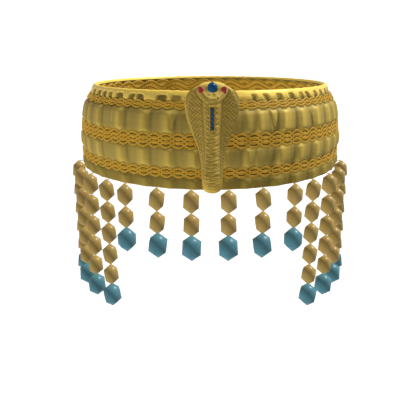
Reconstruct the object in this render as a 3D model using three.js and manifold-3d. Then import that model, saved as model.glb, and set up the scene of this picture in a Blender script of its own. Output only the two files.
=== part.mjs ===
// Cobra headdress: a gathered gold cloth band with plaited braids round it, a cast cobra at the brow
// and strings of faceted beads that hang from the lower edge at the front and sides.
// Units are millimetres. +Z is up, the brow faces -Y, and the origin is the centre of the lower edge.

import * as THREE from "three";
import { mergeVertices } from "three/addons/utils/BufferGeometryUtils.js";
import Module from "manifold-3d";

const wasm = await Module();
wasm.setup();

// Driving sizes
const HALF_WIDTH = 88; // the base oval that the band follows, half across the head
const OVAL = 1.15; // the base oval's length over its width
const GAP = 0.3; // left between two pieces that meet

// The band's outside, from the lower edge up. out is how much a flat panel's half width is over the oval's,
// and gather is the share of a fold's height that stands there: the braids press the folds flat.
const BAND_OUTSIDE = [
  { z: -0.3, out: 0.3, gather: 0.5 },
  { z: 2.4, out: 0.7, gather: 0.8 },
  { z: 6, out: -1, gather: 0.1 },
  { z: 11.4, out: -1, gather: 0.1 },
  { z: 13.4, out: 0.5, gather: 0.9 },
  { z: 20, out: 0.5, gather: 0.9 },
  { z: 22, out: -1, gather: 0.1 },
  { z: 30.2, out: -1.3, gather: 0.1 },
  { z: 32, out: -0.9, gather: 0.8 },
  { z: 37, out: -2.2, gather: 1 },
  { z: 40.8, out: -3.4, gather: 0.8 },
  { z: 42.2, out: -4.4, gather: 0.1 },
  { z: 46.8, out: -7.6, gather: 0.1 },
  { z: 48.2, out: -7.9, gather: 0.8 },
  { z: 51.8, out: -9.6, gather: 0.5 },
  { z: 52.7, out: -10.7, gather: 0 },
];

// The band's smooth inside, from the lower edge up.
const BAND_INSIDE = [
  { z: -0.3, out: -2.6 },
  { z: 8.7, out: -3.1 },
  { z: 36.5, out: -4.6 },
  { z: 43, out: -7.6 },
  { z: 48, out: -10.2 },
  { z: 52.3, out: -12.1 },
];

// Folds in front: place and width in degrees round the oval from the brow, +X positive, and the
// height of the fold above the middle braid and below it.
const FRONT_FOLDS = [
  { at: -66, width: 5, upper: 1, lower: 0.9 },
  { at: -57, width: 5.5, upper: 1.2, lower: 1 },
  { at: -48.5, width: 6, upper: 1.3, lower: 1.2 },
  { at: -35.5, width: 6.5, upper: 1.3, lower: 1.3 },
  { at: -24.4, width: 6, upper: 1.3, lower: 1.2 },
  { at: -15.6, width: 5.5, upper: 1.4, lower: 1.1 },
  { at: -5.5, width: 5, upper: 0.8, lower: 1 },
  { at: 5, width: 5, upper: 0.8, lower: 0.8 },
  { at: 13.5, width: 5.5, upper: 0.7, lower: 1.1 },
  { at: 20.5, width: 5.5, upper: 1.2, lower: 0.8 },
  { at: 30.3, width: 7, upper: 1.4, lower: 1.2 },
  { at: 38.9, width: 5.5, upper: 1.3, lower: 1.2 },
  { at: 48, width: 6.5, upper: 1.3, lower: 1.2 },
  { at: 57.5, width: 6, upper: 1.2, lower: 1.1 },
  { at: 65.5, width: 5, upper: 1.1, lower: 1 },
];
const BACK_FOLDS = { count: 19, from: 76, to: 283.5, shift: 1.2, width: 6, height: 1.15 };

// Braids: height and width of each, the height of its middle, and which face of the band it lies on.
const BRAIDS = [
  { name: "braid_lower", z: 8.7, width: 5.4, thick: 1.6, side: 1 },
  { name: "braid_middle", z: 26.1, width: 8.2, thick: 1.6, side: 1 },
  { name: "braid_upper", z: 44.5, width: 4.9, thick: 1.5, side: 1 },
  { name: "braid_inner", z: 45.3, width: 11.6, thick: 2.2, side: -1 },
];
const BRAID_STEPS = 40;
const BRAID_CLEAR = 0.55; // from a flat panel to the braid, over the flattened folds

// Bead strings: places round the oval on each side, the first few short and the others long.
const STRING_ANGLES = [6.36, 18.63, 31.69, 41.22, 52.75, 64.31, 77.46];
const SHORT_STRINGS = 3;
const SHORT_BEADS = 2;
const LONG_BEADS = 5;
const STRING_OUT = 4.7;
const STRING_TOP = 0.65;
const HANG_HEIGHT = 2;
const THREAD_RADIUS = 0.45;
const GOLD_BEAD = { radius: 4.6, height: 14.2, pitch: 13.42 };
const DROP = { radius: 5.6, height: 15.7, rise: 1.1 };

// Cobra: half width, half width of the belly and depth of the belly at each height.
const COBRA_OFFSET = 1.2;
const COBRA_CLEAR = 0.4;
const COBRA_ROWS = [
  { z: -1.5, half: 1.9, belly: 1.3, front: 2.6 },
  { z: -0.6, half: 3.6, belly: 2.7, front: 3.7 },
  { z: 0.6, half: 4.5, belly: 3.5, front: 4.6 },
  { z: 3, half: 5.2, belly: 4.1, front: 5.3 },
  { z: 8, half: 5.8, belly: 4.5, front: 5.6 },
  { z: 16, half: 6.2, belly: 4.7, front: 5.7 },
  { z: 22, half: 7.4, belly: 4.8, front: 5.8 },
  { z: 28, half: 9.7, belly: 4.8, front: 5.8 },
  { z: 34, half: 11.8, belly: 4.9, front: 5.9 },
  { z: 39, half: 13.5, belly: 5, front: 6 },
  { z: 44, half: 14.25, belly: 5, front: 6.2 },
  { z: 48, half: 14.15, belly: 5, front: 6.3 },
  { z: 51, half: 13.2, belly: 5, front: 6.3 },
  { z: 53.5, half: 11.2, belly: 5, front: 5.8 },
  { z: 55.5, half: 7.9, belly: 4.5, front: 4.8 },
  { z: 57, half: 5, belly: 3.2, front: 3.6 },
];
const HOOD = { groove: 1.8, middle: 2, rim: 2.4, edge: 0.9, rimAt: 0.85 };
const RIB = { pitch: 2.1, edge: 0.55, height: 0.5, from: -1.5, to: 52 };
const HEAD_SIDES = 12;
const HEAD_ROWS = [
  { forward: 0.6, z: 53.6, half: 7.4, up: 3, down: 3 },
  { forward: 4, z: 54, half: 8, up: 3.8, down: 4 },
  { forward: 8.5, z: 53.4, half: 7.8, up: 4, down: 4.2 },
  { forward: 11, z: 52.4, half: 7, up: 3.2, down: 4 },
  { forward: 12.5, z: 51.8, half: 6.4, up: 2.2, down: 3.9 },
  { forward: 14.5, z: 50.8, half: 5.4, up: 1.9, down: 3.5 },
  { forward: 16.5, z: 49.8, half: 4.3, up: 1.8, down: 3.1 },
  { forward: 19, z: 48.6, half: 2.6, up: 1.7, down: 2.1 },
];
const THROAT_FRAME = { width: 3.6, height: 12.4, rim: 0.5, z: 39.2, proud: 0.8, deep: 1.1 };
const THROAT_STONES = { count: 5, radius: 1, dome: 0.9, pitch: 2.22 };
const BROW_STONE = { radius: 2.6, forward: 12.2, z: 55.4 };
const EYE = { x: 6, forward: 11, z: 54.1, halfWidth: 1.2, halfDepth: 1.3, halfHeight: 1.75, lean: 14 };
const POSTS = { radius: 2.2, sides: 10, heights: [17, 36.5] };

const GOLD_CLOTH = new THREE.MeshStandardMaterial({ color: 0x907b41, roughness: 0.42, metalness: 0.7 });
const BRAID_GOLD = new THREE.MeshStandardMaterial({ color: 0xa07d2f, roughness: 0.5, metalness: 0.6 });
const CAST_GOLD = new THREE.MeshStandardMaterial({ color: 0x967f3b, roughness: 0.38, metalness: 0.9 });
const BEAD_GOLD = new THREE.MeshStandardMaterial({ color: 0xb0945a, roughness: 0.3, metalness: 0.7 });
const TURQUOISE = new THREE.MeshStandardMaterial({ color: 0x4a8896, roughness: 0.25, metalness: 0.1 });
const BLUE_STONE = new THREE.MeshStandardMaterial({ color: 0x0e3a6a, roughness: 0.15, metalness: 0 });
const RED_STONE = new THREE.MeshStandardMaterial({ color: 0xa43d3c, roughness: 0.2, metalness: 0 });

// Solids

/** A geometry from a list of Vector3 and a list of corner numbers, three for each triangle. */
function meshGeometry(points, triangles) {
  const geometry = new THREE.BufferGeometry();
  geometry.setFromPoints(points);
  geometry.setIndex(triangles);
  return geometry;
}

/** Two triangles for each cell between two rings of `size` corners that start at `first` and `second`. */
function stripBetween(first, second, size) {
  const triangles = [];
  for (let corner = 0; corner < size; corner += 1) {
    const next = (corner + 1) % size;
    triangles.push(first + corner, first + next, second + next);
    triangles.push(first + corner, second + next, second + corner);
  }
  return triangles;
}

/** A closed loop of sections: each is the list of corners of a closed outline, turned the same way. */
function ringSolid(sections) {
  const size = sections[0].length;
  const triangles = sections.flatMap((_, step) =>
    stripBetween(step * size, ((step + 1) % sections.length) * size, size),
  );
  return meshGeometry(sections.flat(), triangles);
}

/** A body through a list of sections, closed by a fan at both ends. */
function loftSolid(sections) {
  const size = sections[0].length;
  const points = sections.flat();
  const last = (sections.length - 1) * size;
  const triangles = sections.slice(1).flatMap((_, step) => stripBetween(step * size, (step + 1) * size, size));
  for (let corner = 1; corner < size - 1; corner += 1) {
    triangles.push(0, corner + 1, corner);
    triangles.push(last, last + corner, last + corner + 1);
  }
  return meshGeometry(points, triangles);
}

/** The closed geometry as a solid that can be joined and cut. */
function solidOf(geometry) {
  const bare = geometry.clone();
  bare.deleteAttribute("normal");
  bare.deleteAttribute("uv");
  const merged = mergeVertices(bare, 1e-4);
  const triVerts = [];
  for (let first = 0; first < merged.index.count; first += 3) {
    const corners = [0, 1, 2].map((step) => merged.index.getX(first + step));
    if (new Set(corners).size === 3) triVerts.push(...corners);
  }
  const vertProperties = new Float32Array(merged.attributes.position.array);
  return new wasm.Manifold(
    new wasm.Mesh({ numProp: 3, vertProperties, triVerts: new Uint32Array(triVerts) }),
  );
}

/** The solid's mesh as a three.js geometry. */
function geometryOf(solid) {
  const { vertProperties, triVerts } = solid.getMesh();
  const geometry = new THREE.BufferGeometry();
  geometry.setAttribute("position", new THREE.BufferAttribute(vertProperties, 3));
  geometry.setIndex(new THREE.BufferAttribute(triVerts, 1));
  return geometry;
}

function namedMesh(name, geometry, material) {
  const mesh = new THREE.Mesh(geometry, material);
  mesh.name = name;
  return mesh;
}

// The oval and the band

/** A point at height z, on an oval whose half width is `out` more than the base oval's. */
function onOval(degrees, out, z) {
  const angle = THREE.MathUtils.degToRad(degrees);
  const half = HALF_WIDTH + out;
  return new THREE.Vector3(half * Math.sin(angle), -half * OVAL * Math.cos(angle), z);
}

/** The folds of the back, which the photo hides, spaced evenly with a small shift to each. */
function backFolds() {
  const { count, from, to, shift, width, height } = BACK_FOLDS;
  return Array.from({ length: count }, (_, place) => ({
    at: THREE.MathUtils.lerp(from, to, place / (count - 1)) + shift * Math.sin(2.4 * place),
    width: width + Math.sin(1.7 * place),
    upper: height + 0.25 * Math.sin(3.1 * place),
    lower: height + 0.2 * Math.cos(2.3 * place),
  }));
}

const FOLDS = [...FRONT_FOLDS, ...backFolds()];
const MIDDLE_BRAID = BRAIDS.find((braid) => braid.name === "braid_middle");

/** How far the cloth stands out of its flat panel in a fold, at an angle and height. */
function foldLift(degrees, z) {
  const lifts = FOLDS.map((fold) => {
    const away = Math.abs(THREE.MathUtils.euclideanModulo(degrees - fold.at + 180, 360) - 180);
    const height = z > MIDDLE_BRAID.z ? fold.upper : fold.lower;
    return height * Math.max(0, 1 - away / (fold.width / 2));
  });
  return Math.max(...lifts);
}

/** The value of a column of a table at height z, between the rows on either side. */
function columnAt(rows, column, z) {
  const above = Math.max(1, rows.findIndex((row) => row.z >= z));
  const [low, high] = [rows[above - 1], rows[above]];
  return THREE.MathUtils.mapLinear(z, low.z, high.z, low[column], high[column]);
}

/** The outside of the band at an angle and height, as half width over the base oval's. */
function bandOut(degrees, z) {
  const gather = columnAt(BAND_OUTSIDE, "gather", z);
  return columnAt(BAND_OUTSIDE, "out", z) + gather * foldLift(degrees, z);
}

/** The band: each fold has a section at its foot, its crest and its other foot. */
function bandGeometry() {
  const angles = FOLDS.flatMap((fold) => [fold.at - fold.width / 2, fold.at, fold.at + fold.width / 2]);
  const sections = angles.map((degrees) => [
    ...BAND_INSIDE.map(({ out, z }) => onOval(degrees, out, z)),
    ...BAND_OUTSIDE.toReversed().map(({ z }) => onOval(degrees, bandOut(degrees, z), z)),
  ]);
  return ringSolid(sections);
}

/** A braid's outer form: a flat ring with rounded edges that follows the slope of the cloth under it. */
function braidGeometry({ z, width, thick, side }) {
  const rows = side > 0 ? BAND_OUTSIDE : BAND_INSIDE;
  const reach = width / 2;
  const [low, high] = [z - reach, z + reach].map((height) => columnAt(rows, "out", height));
  const slope = Math.atan2(high - low, width);
  const along = new THREE.Vector2(Math.sin(slope), Math.cos(slope));
  const away = new THREE.Vector2(along.y, -along.x).multiplyScalar(side);
  const middle = new THREE.Vector2(columnAt(rows, "out", z), z);
  middle.addScaledVector(away, BRAID_CLEAR + thick / 2);
  const outline = [
    [-1, 0],
    [-0.7, -1],
    [0.7, -1],
    [1, 0],
    [0.7, 1],
    [-0.7, 1],
  ].map(([up, over]) =>
    middle
      .clone()
      .addScaledVector(along, up * reach)
      .addScaledVector(away, (side * over * thick) / 2),
  );
  const sections = Array.from({ length: BRAID_STEPS }, (_, step) =>
    outline.map((corner) => onOval((360 * step) / BRAID_STEPS, corner.x, corner.y)),
  );
  return ringSolid(sections);
}

// Bead strings

const GOLDEN_RATIO = (1 + Math.sqrt(5)) / 2;
const ICOSAHEDRON_RING = 2 / Math.sqrt(5); // radius of its two rings of corners, for a radius of 1

/** A bead with a point at each end and two rings of five corners, the lower with one towards +Y. */
function facetedBead({ radius, height }) {
  const bead = new THREE.IcosahedronGeometry(1);
  bead.rotateX(Math.atan(1 / GOLDEN_RATIO));
  bead.scale(radius / ICOSAHEDRON_RING, radius / ICOSAHEDRON_RING, height / 2);
  return bead;
}

/** A block that takes everything from height z down, or up, off a bead's point. */
function pointCutter(z, direction) {
  const size = GOLD_BEAD.radius;
  return new THREE.BoxGeometry(size, size, size).translate(0, 0, z + (direction * size) / 2);
}

/** The thread from the first bead's point up and in to the cloth, which is `reach` away along -Y. */
function hangerGeometry(reach) {
  const start = new THREE.Vector3(0, 0, STRING_TOP - GOLD_BEAD.radius / 4);
  const bend = new THREE.Vector3(0, 0, HANG_HEIGHT);
  const end = new THREE.Vector3(0, -reach, HANG_HEIGHT);
  const corners = Array.from({ length: 5 }, (_, corner) => {
    const angle = (2 * Math.PI * corner) / 5;
    return new THREE.Vector2(THREAD_RADIUS * Math.cos(angle), THREAD_RADIUS * Math.sin(angle));
  });
  const extrudePath = new THREE.QuadraticBezierCurve3(start, bend, end);
  return new THREE.ExtrudeGeometry(new THREE.Shape(corners), { extrudePath, steps: 3 });
}

/** One string in a group of its own: gold beads that meet point to point, then the turquoise drop. */
function beadString(label, degrees, beads) {
  const place = onOval(degrees, STRING_OUT, 0);
  const cloth = onOval(degrees, bandOut(degrees, HANG_HEIGHT) + GAP, 0);
  const lastPoint = STRING_TOP - beads * GOLD_BEAD.pitch;
  const meeting = lastPoint + DROP.rise / 2;
  let gold = solidOf(hangerGeometry(place.distanceTo(cloth)));
  for (let bead = 0; bead < beads; bead += 1) {
    const middle = STRING_TOP - (bead + 0.5) * GOLD_BEAD.pitch;
    gold = gold.add(solidOf(facetedBead(GOLD_BEAD).translate(0, 0, middle)));
  }
  gold = gold.subtract(solidOf(pointCutter(meeting + GAP / 2, -1)));
  const dropMiddle = lastPoint + DROP.rise - DROP.height / 2;
  const drop = solidOf(facetedBead(DROP).translate(0, 0, dropMiddle));
  const trimmed = drop.subtract(solidOf(pointCutter(meeting - GAP / 2, 1)));

  const string = new THREE.Group();
  string.position.copy(place);
  string.rotation.z = Math.atan2(-place.x, place.y);
  string.add(namedMesh(`gold_string_${label}`, geometryOf(gold), BEAD_GOLD));
  string.add(namedMesh(`drop_${label}`, geometryOf(trimmed), TURQUOISE));
  return string;
}

// The cobra, in a group whose +X is to the right, -Y forward from its flat back, and Z up

const COBRA_COLUMNS = ["half", "belly", "front"];
const cobraSizes = new THREE.CubicInterpolant(
  COBRA_ROWS.map((row) => row.z),
  COBRA_ROWS.flatMap((row) => COBRA_COLUMNS.map((column) => row[column])),
  COBRA_COLUMNS.length,
);

/** The cobra's outline at height z, with the belly raised by `rib`. */
function cobraSection(z, rib) {
  const [half, belly, front] = cobraSizes.evaluate(z);
  const wing = (share) => belly + share * (half - belly);
  const swell = (share) => HOOD.groove + (front - HOOD.groove + rib) * Math.sqrt(1 - share * share);
  const side = [
    [half, HOOD.edge],
    [wing(HOOD.rimAt), HOOD.rim],
    [wing(0.5), HOOD.middle],
    [belly, HOOD.groove],
    [0.85 * belly, swell(0.85)],
    [0.5 * belly, swell(0.5)],
  ];
  const frontLine = [
    ...side.map(([x, depth]) => [-x, depth]),
    [0, swell(0)],
    ...side.toReversed(),
  ];
  const back = [
    [wing(HOOD.rimAt), 0],
    [-wing(HOOD.rimAt), 0],
  ];
  return [...frontLine, ...back].map(([x, depth]) => new THREE.Vector3(x, -depth, z));
}

/** The body and hood: the belly's plates lap downwards, each with a proud lower edge. */
function cobraBody() {
  const sections = [];
  for (let z = RIB.from; z < RIB.to; z += RIB.pitch) {
    sections.push(cobraSection(z, 0), cobraSection(z + RIB.edge, RIB.height));
  }
  const above = COBRA_ROWS.filter((row) => row.z > RIB.to + RIB.pitch / 2);
  sections.push(...above.map((row) => cobraSection(row.z, 0)));
  return loftSolid(sections);
}

/** The head, reaching forward and down from the hood. */
function cobraHead() {
  const sections = HEAD_ROWS.map(({ forward, z, half, up, down }) =>
    Array.from({ length: HEAD_SIDES }, (_, corner) => {
      const angle = (2 * Math.PI * corner) / HEAD_SIDES;
      const tall = corner < HEAD_SIDES / 2 ? up : down;
      return new THREE.Vector3(half * Math.cos(angle), -forward, z + tall * Math.sin(angle));
    }),
  );
  return loftSolid(sections);
}

/** Depth of the belly's face at height z. */
function bellyFront(z) {
  return cobraSizes.evaluate(z)[COBRA_COLUMNS.indexOf("front")] + RIB.height;
}

function throatFrame() {
  const { width, height, z, proud } = THROAT_FRAME;
  const depth = bellyFront(z);
  return new THREE.BoxGeometry(width, depth, height).translate(0, -depth / 2 - proud, z);
}

function throatChannel() {
  const { width, height, rim, z, proud, deep } = THROAT_FRAME;
  const front = bellyFront(z) + proud;
  return new THREE.BoxGeometry(width - 2 * rim, 2 * deep, height - 2 * rim).translate(0, -front, z);
}

/** A round stone with a flat foot, its dome towards -Y. */
function throatStone(place) {
  const { count, radius, dome, pitch } = THROAT_STONES;
  const profile = [
    [0, 0],
    [radius, 0],
    [radius, dome * 0.4],
    [radius * 0.72, dome * 0.85],
    [0, dome],
  ].map(([x, y]) => new THREE.Vector2(x, y));
  const foot = bellyFront(THROAT_FRAME.z) + THROAT_FRAME.proud - THROAT_FRAME.deep + GAP;
  const z = THROAT_FRAME.z + ((count - 1) / 2 - place) * pitch;
  return new THREE.LatheGeometry(profile, 10).rotateX(Math.PI).translate(0, -foot, z);
}

/** The brow stone, or with `extra` the seat that it sits in. */
function browStone(extra) {
  const { radius, forward, z } = BROW_STONE;
  return new THREE.SphereGeometry(radius + extra, 12, 8).translate(0, -forward, z);
}

/** An eye on side -1 or 1, or with `extra` its socket. */
function eye(side, extra) {
  const { x, forward, z, halfWidth, halfDepth, halfHeight, lean } = EYE;
  return new THREE.SphereGeometry(1, 10, 6)
    .rotateX(Math.PI / 2)
    .scale(halfWidth + extra, halfDepth + extra, halfHeight + extra)
    .rotateY(THREE.MathUtils.degToRad(side * lean))
    .translate(side * x, -forward, z);
}

/** How far forward of the origin an oval reaches at the brow. */
function frontOf(out) {
  return -onOval(0, out, 0).y;
}

/** A post behind the cobra that it stands off the cloth by, with its end just clear of the band. */
function standOffPost(z, back) {
  const cloth = Math.max(bandOut(0, z - POSTS.radius), bandOut(0, z + POSTS.radius));
  const length = back - frontOf(cloth) - GAP + HOOD.groove;
  const post = new THREE.CylinderGeometry(POSTS.radius, POSTS.radius, length, POSTS.sides);
  return post.translate(0, length / 2 - HOOD.groove, z);
}

function cobraGroup() {
  const seat = columnAt(BAND_OUTSIDE, "out", MIDDLE_BRAID.z);
  const back = frontOf(seat + BRAID_CLEAR + MIDDLE_BRAID.thick) + COBRA_CLEAR;
  const posts = POSTS.heights.map((z) => standOffPost(z, back));
  const joined = [cobraHead(), throatFrame(), ...posts];
  const seats = [throatChannel(), browStone(GAP), eye(-1, GAP), eye(1, GAP)];
  let cast = solidOf(cobraBody());
  for (const piece of joined) cast = cast.add(solidOf(piece));
  for (const seat of seats) cast = cast.subtract(solidOf(seat));

  const group = new THREE.Group();
  group.position.set(COBRA_OFFSET, -back, 0);
  group.add(namedMesh("cobra", geometryOf(cast), CAST_GOLD));
  group.add(namedMesh("brow_stone", browStone(0), BLUE_STONE));
  group.add(namedMesh("eye_left", eye(-1, 0), RED_STONE));
  group.add(namedMesh("eye_right", eye(1, 0), RED_STONE));
  for (let place = 0; place < THROAT_STONES.count; place += 1) {
    group.add(namedMesh(`throat_stone_${place + 1}`, throatStone(place), BLUE_STONE));
  }
  return group;
}

// The headdress

const headdress = new THREE.Group();
headdress.add(namedMesh("band", bandGeometry(), GOLD_CLOTH));
for (const braid of BRAIDS) headdress.add(namedMesh(braid.name, braidGeometry(braid), BRAID_GOLD));
headdress.add(cobraGroup());
STRING_ANGLES.forEach((degrees, place) => {
  const beads = place < SHORT_STRINGS ? SHORT_BEADS : LONG_BEADS;
  headdress.add(beadString(`left_${place + 1}`, -degrees, beads));
  headdress.add(beadString(`right_${place + 1}`, degrees, beads));
});

export default headdress;
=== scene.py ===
"""Dresses the cobra headdress: its gathered gold band, braids, cast cobra, stones and bead strings."""

from __future__ import annotations

import logging
import math
from dataclasses import dataclass, field
from enum import Enum
from typing import Any, Iterable, Iterator, Sequence, Union

import bmesh
import bpy
import numpy as np
from mathutils import Matrix, Vector
from mathutils.bvhtree import BVHTree


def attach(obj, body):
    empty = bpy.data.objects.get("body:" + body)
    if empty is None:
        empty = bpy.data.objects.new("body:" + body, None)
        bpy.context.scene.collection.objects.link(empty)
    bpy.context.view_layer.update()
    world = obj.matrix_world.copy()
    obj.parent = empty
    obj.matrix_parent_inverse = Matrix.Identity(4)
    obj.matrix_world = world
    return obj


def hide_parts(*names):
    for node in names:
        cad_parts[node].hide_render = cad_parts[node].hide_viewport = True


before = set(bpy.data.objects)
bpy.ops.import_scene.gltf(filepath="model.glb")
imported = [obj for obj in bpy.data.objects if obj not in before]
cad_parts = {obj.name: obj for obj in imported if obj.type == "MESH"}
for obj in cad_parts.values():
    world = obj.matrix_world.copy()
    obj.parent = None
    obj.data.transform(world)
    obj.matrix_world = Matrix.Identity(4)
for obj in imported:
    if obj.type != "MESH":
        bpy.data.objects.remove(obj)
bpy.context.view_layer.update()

MM = 0.001
TINY = 1e-9
BODY = "root"
log = logging.getLogger("headdress")

Colour = tuple[float, float, float, float]
Span = tuple[float, float]
Operand = Union["Value", float, int]


class Face(Enum):
    """The face of the band that a braid lies on."""

    OUTSIDE = 1
    INSIDE = -1


class Side(Enum):
    """A side of the headdress, seen from the front."""

    LEFT = -1
    RIGHT = 1

    @property
    def label(self) -> str:
        """The side's word in a piece's name."""
        return self.name.lower()


class Slot(str, Enum):
    """The record's material slots."""

    CLOTH = "gold_cloth"
    BRAID = "braid_cord"
    CAST = "cast_gold"
    BLUE = "blue_stone"
    RED = "red_stone"
    GOLD_BEAD = "gold_bead"
    TURQUOISE = "turquoise_bead"


def srgb(red: int, green: int, blue: int) -> Colour:
    """Turns screen values from 0 to 255 into the linear colour that a shader takes."""

    def channel(value: int) -> float:
        """One channel of the colour."""
        share = value / 255
        return share / 12.92 if share <= 0.04045 else ((share + 0.055) / 1.055) ** 2.4

    return channel(red), channel(green), channel(blue), 1.0


# Node trees


class Value:
    """A socket that takes part in Python expressions, each of which adds a Math node."""

    def __init__(self, graph: "Graph", socket: bpy.types.NodeSocket) -> None:
        """Wraps one output socket of a tree."""
        self.graph = graph
        self.socket = socket

    def output(self, name: str) -> "Value":
        """Another output of the same node."""
        return Value(self.graph, self.socket.node.outputs[name])

    def __add__(self, other: Operand) -> "Value":
        """This plus other."""
        return self.graph.math("ADD", self, other)

    __radd__ = __add__

    def __sub__(self, other: Operand) -> "Value":
        """This less other."""
        return self.graph.math("SUBTRACT", self, other)

    def __rsub__(self, other: Operand) -> "Value":
        """Other less this."""
        return self.graph.math("SUBTRACT", other, self)

    def __mul__(self, other: Operand) -> "Value":
        """This times other."""
        return self.graph.math("MULTIPLY", self, other)

    __rmul__ = __mul__

    def __truediv__(self, other: Operand) -> "Value":
        """This over other."""
        return self.graph.math("DIVIDE", self, other)

    def __mod__(self, other: Operand) -> "Value":
        """What is left of this after whole others."""
        return self.graph.math("FLOORED_MODULO", self, other)

    def sin(self) -> "Value":
        """The sine of this angle in radians."""
        return self.graph.math("SINE", self)

    def cos(self) -> "Value":
        """The cosine of this angle in radians."""
        return self.graph.math("COSINE", self)

    def floor(self) -> "Value":
        """The whole number below this."""
        return self.graph.math("FLOOR", self)


class Graph:
    """Adds and links the nodes of one tree."""

    def __init__(self, tree: bpy.types.NodeTree) -> None:
        """Starts on a tree that exists."""
        self.tree = tree

    def node(
        self,
        kind: str,
        settings: dict[str, Any] | None = None,
        inputs: dict[Any, Any] | None = None,
        output: Any = 0,
    ) -> Value:
        """Adds a node.

        Args:
            kind: the node's type.
            settings: properties of the node, set first.
            inputs: the value or link of each socket, by name or number.
            output: the name or number of the output wanted.

        Returns:
            That output as a Value, or a Value of the node's first input where it has no output.
        """
        node = self.tree.nodes.new(kind)
        for name, setting in (settings or {}).items():
            setattr(node, name, setting)
        for key, value in (inputs or {}).items():
            self.feed(node.inputs[key], value)
        return Value(self, node.outputs[output] if node.outputs else node.inputs[0])

    def feed(self, socket: bpy.types.NodeSocket, value: Any) -> None:
        """Links a Value to a socket, or sets the socket to a plain value."""
        if isinstance(value, Value):
            self.tree.links.new(value.socket, socket)
        else:
            socket.default_value = value

    def math(self, operation: str, *operands: Operand) -> Value:
        """Adds a Math node on one or two operands."""
        return self.node("ShaderNodeMath", {"operation": operation}, dict(enumerate(operands)))

    def mix(self, factor: Operand, first: Any, second: Any) -> Value:
        """A colour from first, at factor 0, to second, at factor 1."""
        return self.node(
            "ShaderNodeMix",
            {"data_type": "RGBA", "clamp_factor": True},
            {0: factor, 6: first, 7: second},
            output=2,
        )

    def span(self, value: Operand, over: Span, to: Span = (0.0, 1.0)) -> Value:
        """Maps a value from one range to another and clamps it there."""
        ends = {"From Min": over[0], "From Max": over[1], "To Min": to[0], "To Max": to[1]}
        return self.node("ShaderNodeMapRange", {"clamp": True}, {"Value": value, **ends})

    def vector(self, x: Operand, y: Operand, z: Operand) -> Value:
        """A vector from three values."""
        return self.node("ShaderNodeCombineXYZ", None, {"X": x, "Y": y, "Z": z})


class Surface:
    """One material: a Principled shader and the graph that feeds it."""

    def __init__(self, name: str, **constants: Any) -> None:
        """Makes the material and sets the sockets that are the same all over the surface."""
        self.material = bpy.data.materials.new(name)
        self.material.use_nodes = True
        tree = self.material.node_tree
        self.shader = next(node for node in tree.nodes if node.type == "BSDF_PRINCIPLED")
        self.graph = Graph(tree)
        for socket, value in constants.items():
            self.shader.inputs[socket.replace("_", " ")].default_value = value

    def link(self, socket: str, value: Value) -> None:
        """Feeds one of the shader's sockets."""
        self.graph.feed(self.shader.inputs[socket], value)

    def bump(self, height: Value, distance: float, strength: float = 1.0) -> None:
        """Raises the surface by height, whose unit is distance in metres."""
        inputs = {"Height": height, "Distance": distance, "Strength": strength}
        self.link("Normal", self.graph.node("ShaderNodeBump", None, inputs, "Normal"))

    def place(self) -> Value:
        """The point on the object, in metres."""
        return self.graph.node("ShaderNodeTexCoord", None, None, "Object")

    def noise(self, vector: Value, scale: float, detail: float = 3.0, roughness: float = 0.55) -> Value:
        """Soft noise from 0 to 1."""
        inputs = {"Vector": vector, "Scale": scale, "Detail": detail, "Roughness": roughness}
        return self.graph.node("ShaderNodeTexNoise", None, inputs, 0)

    def attribute(self, name: str) -> Value:
        """A value that the mesh carries at each corner."""
        return self.graph.node("ShaderNodeAttribute", {"attribute_name": name}, None, "Fac")


# Finishes


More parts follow.
